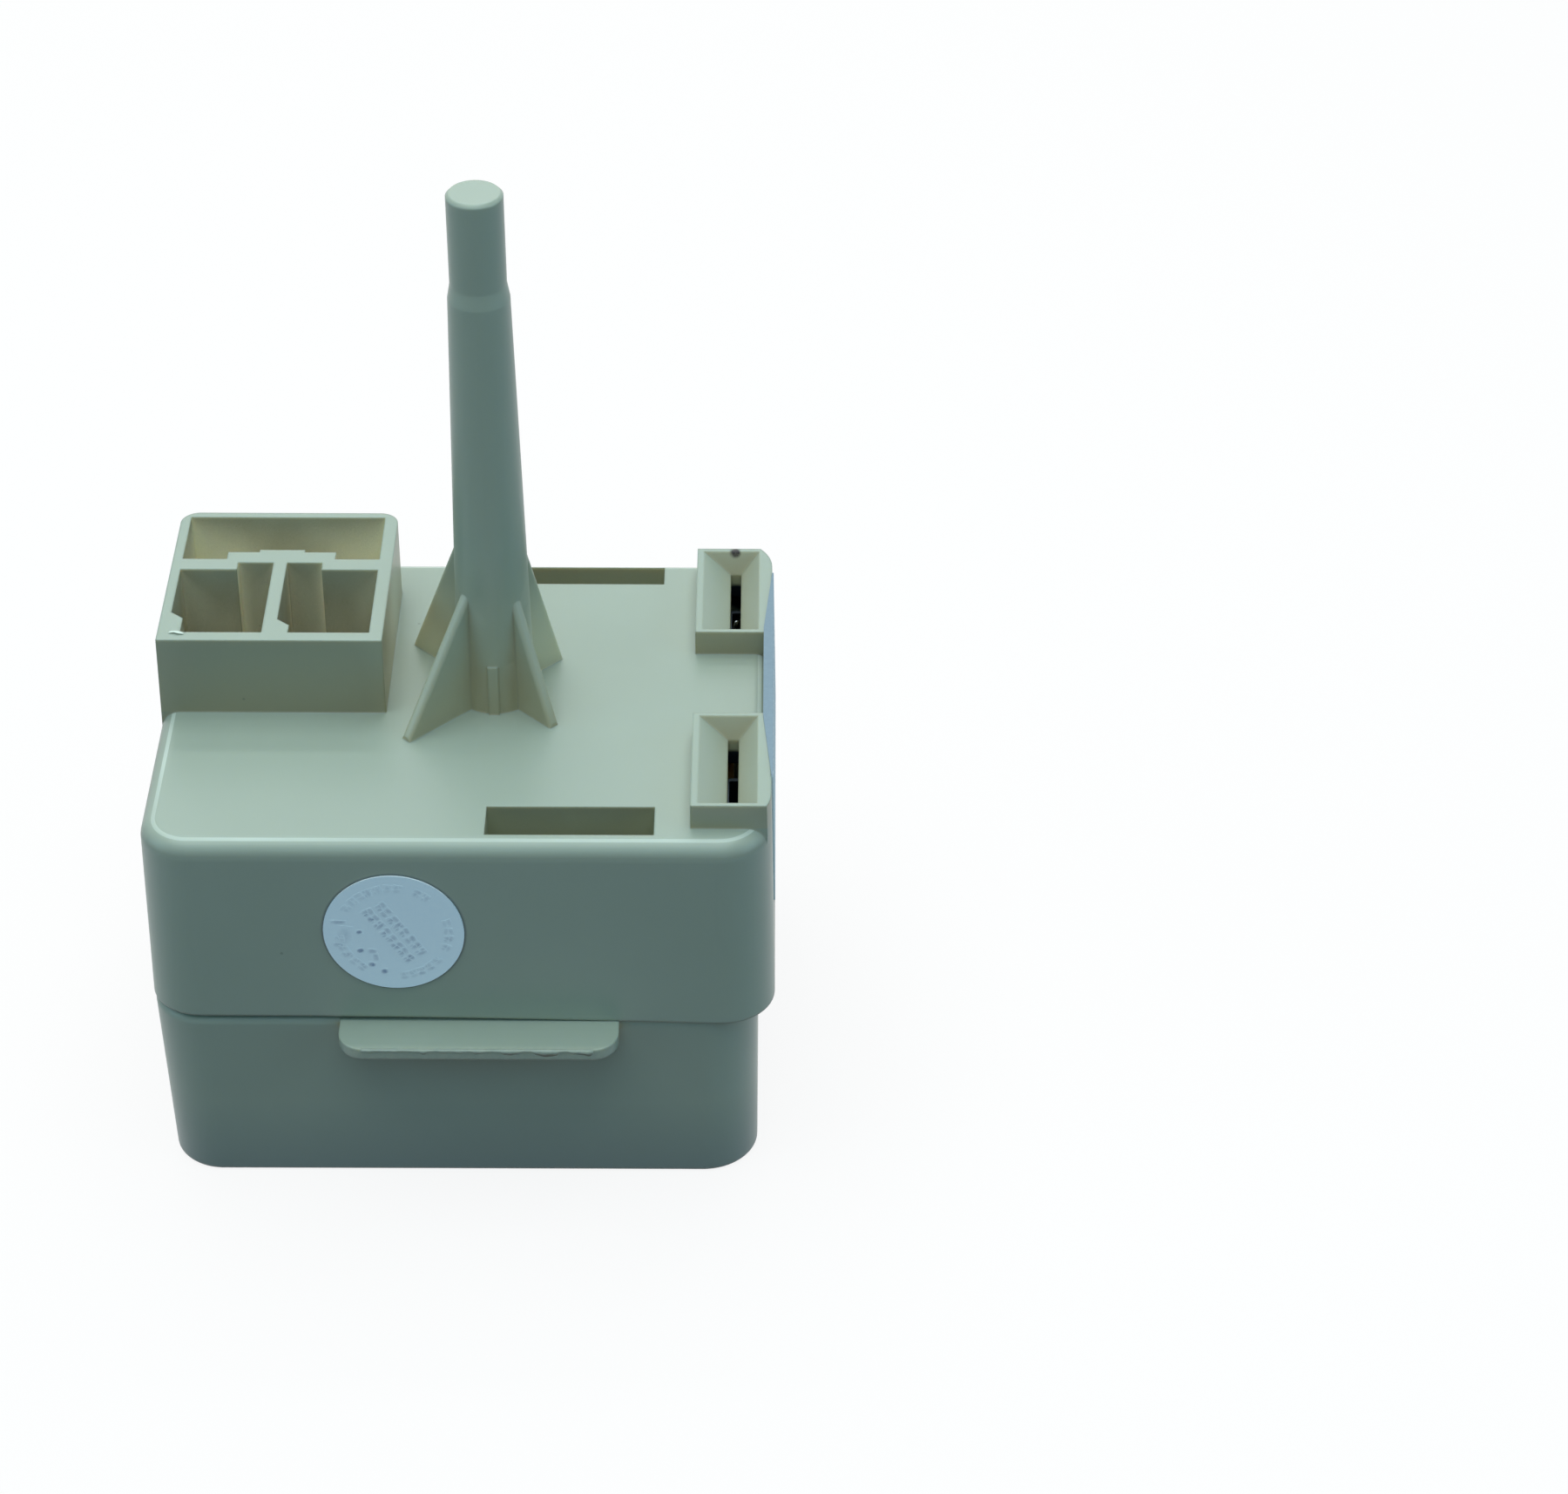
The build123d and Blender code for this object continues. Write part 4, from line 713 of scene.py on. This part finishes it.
# %% [markdown]
# ## Flash
# Where the two halves of the mould meet, a little plastic squeezes out and stays as flash. On the
# lip it was trimmed with a knife, which left a ragged burr that droops over the front edge, and a
# curled flake hangs on the shroud's rim. A thin curl of plated metal shows in the back slot. All
# three are closed strips whose width wanders, made ring by ring from a smooth noise, as no two
# shavings are alike. Points that meet at a seam or at a pinched end are made one, and the seam
# stays a sharp edge, as a shaving has.

# %% Strips from rings of points
weld_mm = 0.0001


def strip(name, rings, material):
    """A smooth closed mesh through rings of points, pinched to a point at both ends."""
    closed = [list(ring) + [ring[0]] for ring in rings]
    first, last = ([sum((Vector(point) for point in ring), Vector()) / len(ring)] * len(closed[0])
                   for ring in (rings[0], rings[-1]))
    sheet = bmesh.new()
    lines = [[sheet.verts.new(Vector(point) * MM) for point in row] for row in [first] + closed + [last]]
    for near, far in zip(lines, lines[1:]):
        for i in range(len(near) - 1):
            sheet.faces.new((near[i], near[i + 1], far[i + 1], far[i]))
        for i in (0, -1):
            sheet.edges.get((near[i], far[i])).smooth = False
    bmesh.ops.remove_doubles(sheet, verts=sheet.verts, dist=weld_mm * MM)
    bmesh.ops.recalc_face_normals(sheet, faces=sheet.faces)
    mesh = bpy.data.meshes.new(name)
    sheet.to_mesh(mesh)
    sheet.free()
    mesh.materials.append(material)
    for face in mesh.polygons:
        face.use_smooth = True
    piece = bpy.data.objects.new(name, mesh)
    bpy.context.scene.collection.objects.link(piece)
    return piece


def wander(position_mm, seed, size_mm):
    """A smooth irregular number between zero and one, that changes over a size."""
    return 0.5 + 0.5 * noise.noise(Vector((position_mm / size_mm, seed, 0.37)))


print("points nearer than", weld_mm, "mm are made one")

# %% [markdown]
# Each shaving is a list of rings. The burr's ring starts behind the lip's edge, goes over it and
# hangs down in front, by an amount that broad and fine wander add up to. The flake is widest in
# its middle, and the curl climbs while it sways.

# %% Burr, flake and curl
lip_front_mm, lip_top_mm = -28.2, 19.45
burr_from_mm, burr_to_mm, burr_steps = -9.2, 12.6, 150
burr_tuck_mm, burr_skin_mm = 0.15, 0.01
droop_least_mm, droop_broad_mm, droop_fine_mm, broad_quiet = 0.12, 1.3, 0.35, 0.42
reach_least_mm, reach_more_mm = 0.06, 0.12
flake_start_mm, flake_long_mm, flake_steps = (-27.95, -1.5, 48.35), 1.45, 12
flake_arch_mm, flake_half_least_mm, flake_half_more_mm = 0.12, 0.14, 0.22
curl_start_mm, curl_shift_mm, curl_rise_mm, curl_steps = (25.3, 14.95, 37.35), 0.06, 0.2, 6
curl_sway_mm, curl_half_mm = 0.1, 0.2


def burr_ring(i):
    """The burr at one step: behind the lip's edge, over it, and down in front."""
    x = burr_from_mm + (burr_to_mm - burr_from_mm) * i / burr_steps
    broad = max(0.0, wander(x, 2.0, 1.1) - broad_quiet)
    droop = droop_least_mm + droop_broad_mm * broad + droop_fine_mm * wander(x, 5.0, 0.35)
    reach_out = reach_least_mm + reach_more_mm * wander(x, 8.0, 0.5)
    return [(x, lip_front_mm + burr_tuck_mm, lip_top_mm - 0.5),
            (x, lip_front_mm + burr_tuck_mm, lip_top_mm + 0.015),
            (x, lip_front_mm - burr_skin_mm, lip_top_mm + burr_skin_mm),
            (x, lip_front_mm - reach_out, lip_top_mm - 0.35 * droop),
            (x, lip_front_mm + burr_skin_mm, lip_top_mm - droop)]


def flake_ring(i):
    """The flake at one step, widest and highest in its middle."""
    along, bulge = i / flake_steps, math.sin(math.pi * i / flake_steps)
    x = flake_start_mm[0] + flake_long_mm * along
    y = flake_start_mm[1] - 0.1 * along + 0.05 * math.sin(5 * along)
    z = flake_start_mm[2] + flake_arch_mm * bulge
    half = flake_half_least_mm + flake_half_more_mm * bulge * wander(x, 1.0, 0.4)
    return [(x, y - half, z), (x, y, z + 0.05), (x, y + half, z + 0.02), (x, y, z - 0.02)]


def curl_ring(i):
    """The curl at one step, as it climbs and sways."""
    x = curl_start_mm[0] + curl_shift_mm * i
    y = curl_start_mm[1] - curl_sway_mm * math.sin(0.5 * i)
    z = curl_start_mm[2] + curl_rise_mm * i
    return [(x - curl_half_mm, y, z), (x, y - 0.06, z + 0.1), (x + curl_half_mm, y + 0.1, z),
            (x, y + 0.06, z - 0.05)]


thin_pbt = mottled("thin_pbt_flake", "#dfe3d3", "#c6cab8", 0.5, 0.45, 0.01, IOR=1.52)
shavings = (("lip_burr", burr_ring, burr_steps, housing_pbt),
            ("shroud_rim_flake", flake_ring, flake_steps, thin_pbt),
            ("contact_curl", curl_ring, curl_steps, zinc_plated_steel))
for name, ring_at, steps, material in shavings:
    piece = strip(name, [ring_at(i) for i in range(steps + 1)], material)
    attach(piece, "root")
    print(name, "faces:", len(piece.data.polygons))

# %% [markdown]
# ## Floor
# The relay stands on white paper on a dark bench. The floor is white where the camera or a
# reflection sees it, but returns little light to the walls, and it keeps the relay's shadow. Ray
# kinds from the Light Path node tell the two apart.

# %% Floor
floor_bounce = (0.02, 0.04, 0.05, 1.0)
floor_shadowed = (1.0, 0.86, 0.8, 1.0)
floor_glow_share = 0.88                  # the rest is paper, which takes the shadow
floor_reach = 3.0
floor_drop_mm = 0.1
white = (1.0, 1.0, 1.0, 1.0)


def seen_directly(tree):
    """One for rays from the camera, mirrors and clear things, and zero for the rest."""
    path = add(tree, "ShaderNodeLightPath").outputs
    first = add(tree, "ShaderNodeMath", {0: path["Is Camera Ray"], 1: path["Is Glossy Ray"]},
                operation="MAXIMUM")
    return add(tree, "ShaderNodeMath", {0: first.outputs[0], 1: path["Is Transmission Ray"]},
               operation="MAXIMUM").outputs[0]


def floor_paper():
    """White paper for the eye that gives little light back to the walls."""
    material = bpy.data.materials.new("floor_paper")
    material.use_nodes = True
    tree = material.node_tree
    tree.nodes.clear()
    dark = add(tree, "ShaderNodeBsdfDiffuse", {"Color": floor_bounce})
    pale = add(tree, "ShaderNodeBsdfDiffuse", {"Color": floor_shadowed})
    glow = add(tree, "ShaderNodeEmission", {"Color": white, "Strength": 1.0})
    shown = add(tree, "ShaderNodeMixShader", {"Fac": floor_glow_share, 1: pale.outputs[0],
                                              2: glow.outputs[0]})
    choice = add(tree, "ShaderNodeMixShader", {"Fac": seen_directly(tree), 1: dark.outputs[0],
                                               2: shown.outputs[0]})
    add(tree, "ShaderNodeOutputMaterial", {"Surface": choice.outputs[0]})
    return material


floor_mesh = bpy.data.meshes.new("floor")
floor_corners = [(-floor_reach, -floor_reach, 0), (floor_reach, -floor_reach, 0),
                 (floor_reach, floor_reach, 0), (-floor_reach, floor_reach, 0)]
floor_mesh.from_pydata(floor_corners, [], [(0, 1, 2, 3)])
floor = bpy.data.objects.new("floor", floor_mesh)
bpy.context.scene.collection.objects.link(floor)
floor.location.z = -floor_drop_mm * MM
floor_mesh.materials.append(floor_paper())
print("floor", 2 * floor_reach, "m across,", floor_drop_mm, "mm under the relay")

# %% [markdown]
# ## Light
# One wide soft box overhead makes the roof and rims bright and leaves the walls about a quarter
# as bright, with shadows that only darken corners. A box behind, like a window, and a thin strip
# over it draw a line of light along the rounded edges. Weak cool boxes in front and at both sides
# light the walls and reach down into the cells, and a cool glow from all round fills the rest.

# %% Light
softbox_colour = (0.84, 0.97, 1.0)
fill_colour = (0.42, 0.79, 1.0)
surround_strength = 0.17
light_aim = Vector((0.0, 0.0, 0.03))
soft_boxes = (                           # place, width and depth in metres, then watts
    ("overhead_softbox", (-0.06, 0.0, 0.75), 0.7, 0.7, 4.7, softbox_colour),
    ("window_behind", (0.0, 0.55, 0.5), 0.6, 0.6, 1.0, softbox_colour),
    ("edge_strip", (0.0, 0.42, 0.62), 0.8, 0.05, 0.8, softbox_colour),
    ("front_softbox", (0.0, -0.55, 0.65), 0.5, 0.5, 1.0, fill_colour),
    ("left_fill", (-0.7, -0.2, 0.3), 0.5, 0.5, 1.2, fill_colour),
    ("right_fill", (0.7, -0.2, 0.3), 0.5, 0.5, 1.4, fill_colour),
)
for name, place, width, depth, watts, colour in soft_boxes:
    lamp = bpy.data.lights.new(name, "AREA")
    lamp.shape = "RECTANGLE"
    lamp.size, lamp.size_y = width, depth
    lamp.energy = watts
    lamp.color = colour
    box = bpy.data.objects.new(name, lamp)
    bpy.context.scene.collection.objects.link(box)
    box.location = place
    box.rotation_euler = (light_aim - Vector(place)).to_track_quat("-Z", "Y").to_euler()

world = bpy.data.worlds.new("studio")
bpy.context.scene.world = world
world.use_nodes = True
sky = world.node_tree
sky.nodes.clear()
around = add(sky, "ShaderNodeBackground", {"Color": fill_colour + (1.0,), "Strength": surround_strength})
backdrop = add(sky, "ShaderNodeBackground", {"Color": white, "Strength": 1.0})
either = add(sky, "ShaderNodeMixShader", {"Fac": seen_directly(sky), 1: around.outputs[0],
                                          2: backdrop.outputs[0]})
add(sky, "ShaderNodeOutputWorld", {"Surface": either.outputs[0]})
bpy.context.scene.view_settings.view_transform = "Standard"
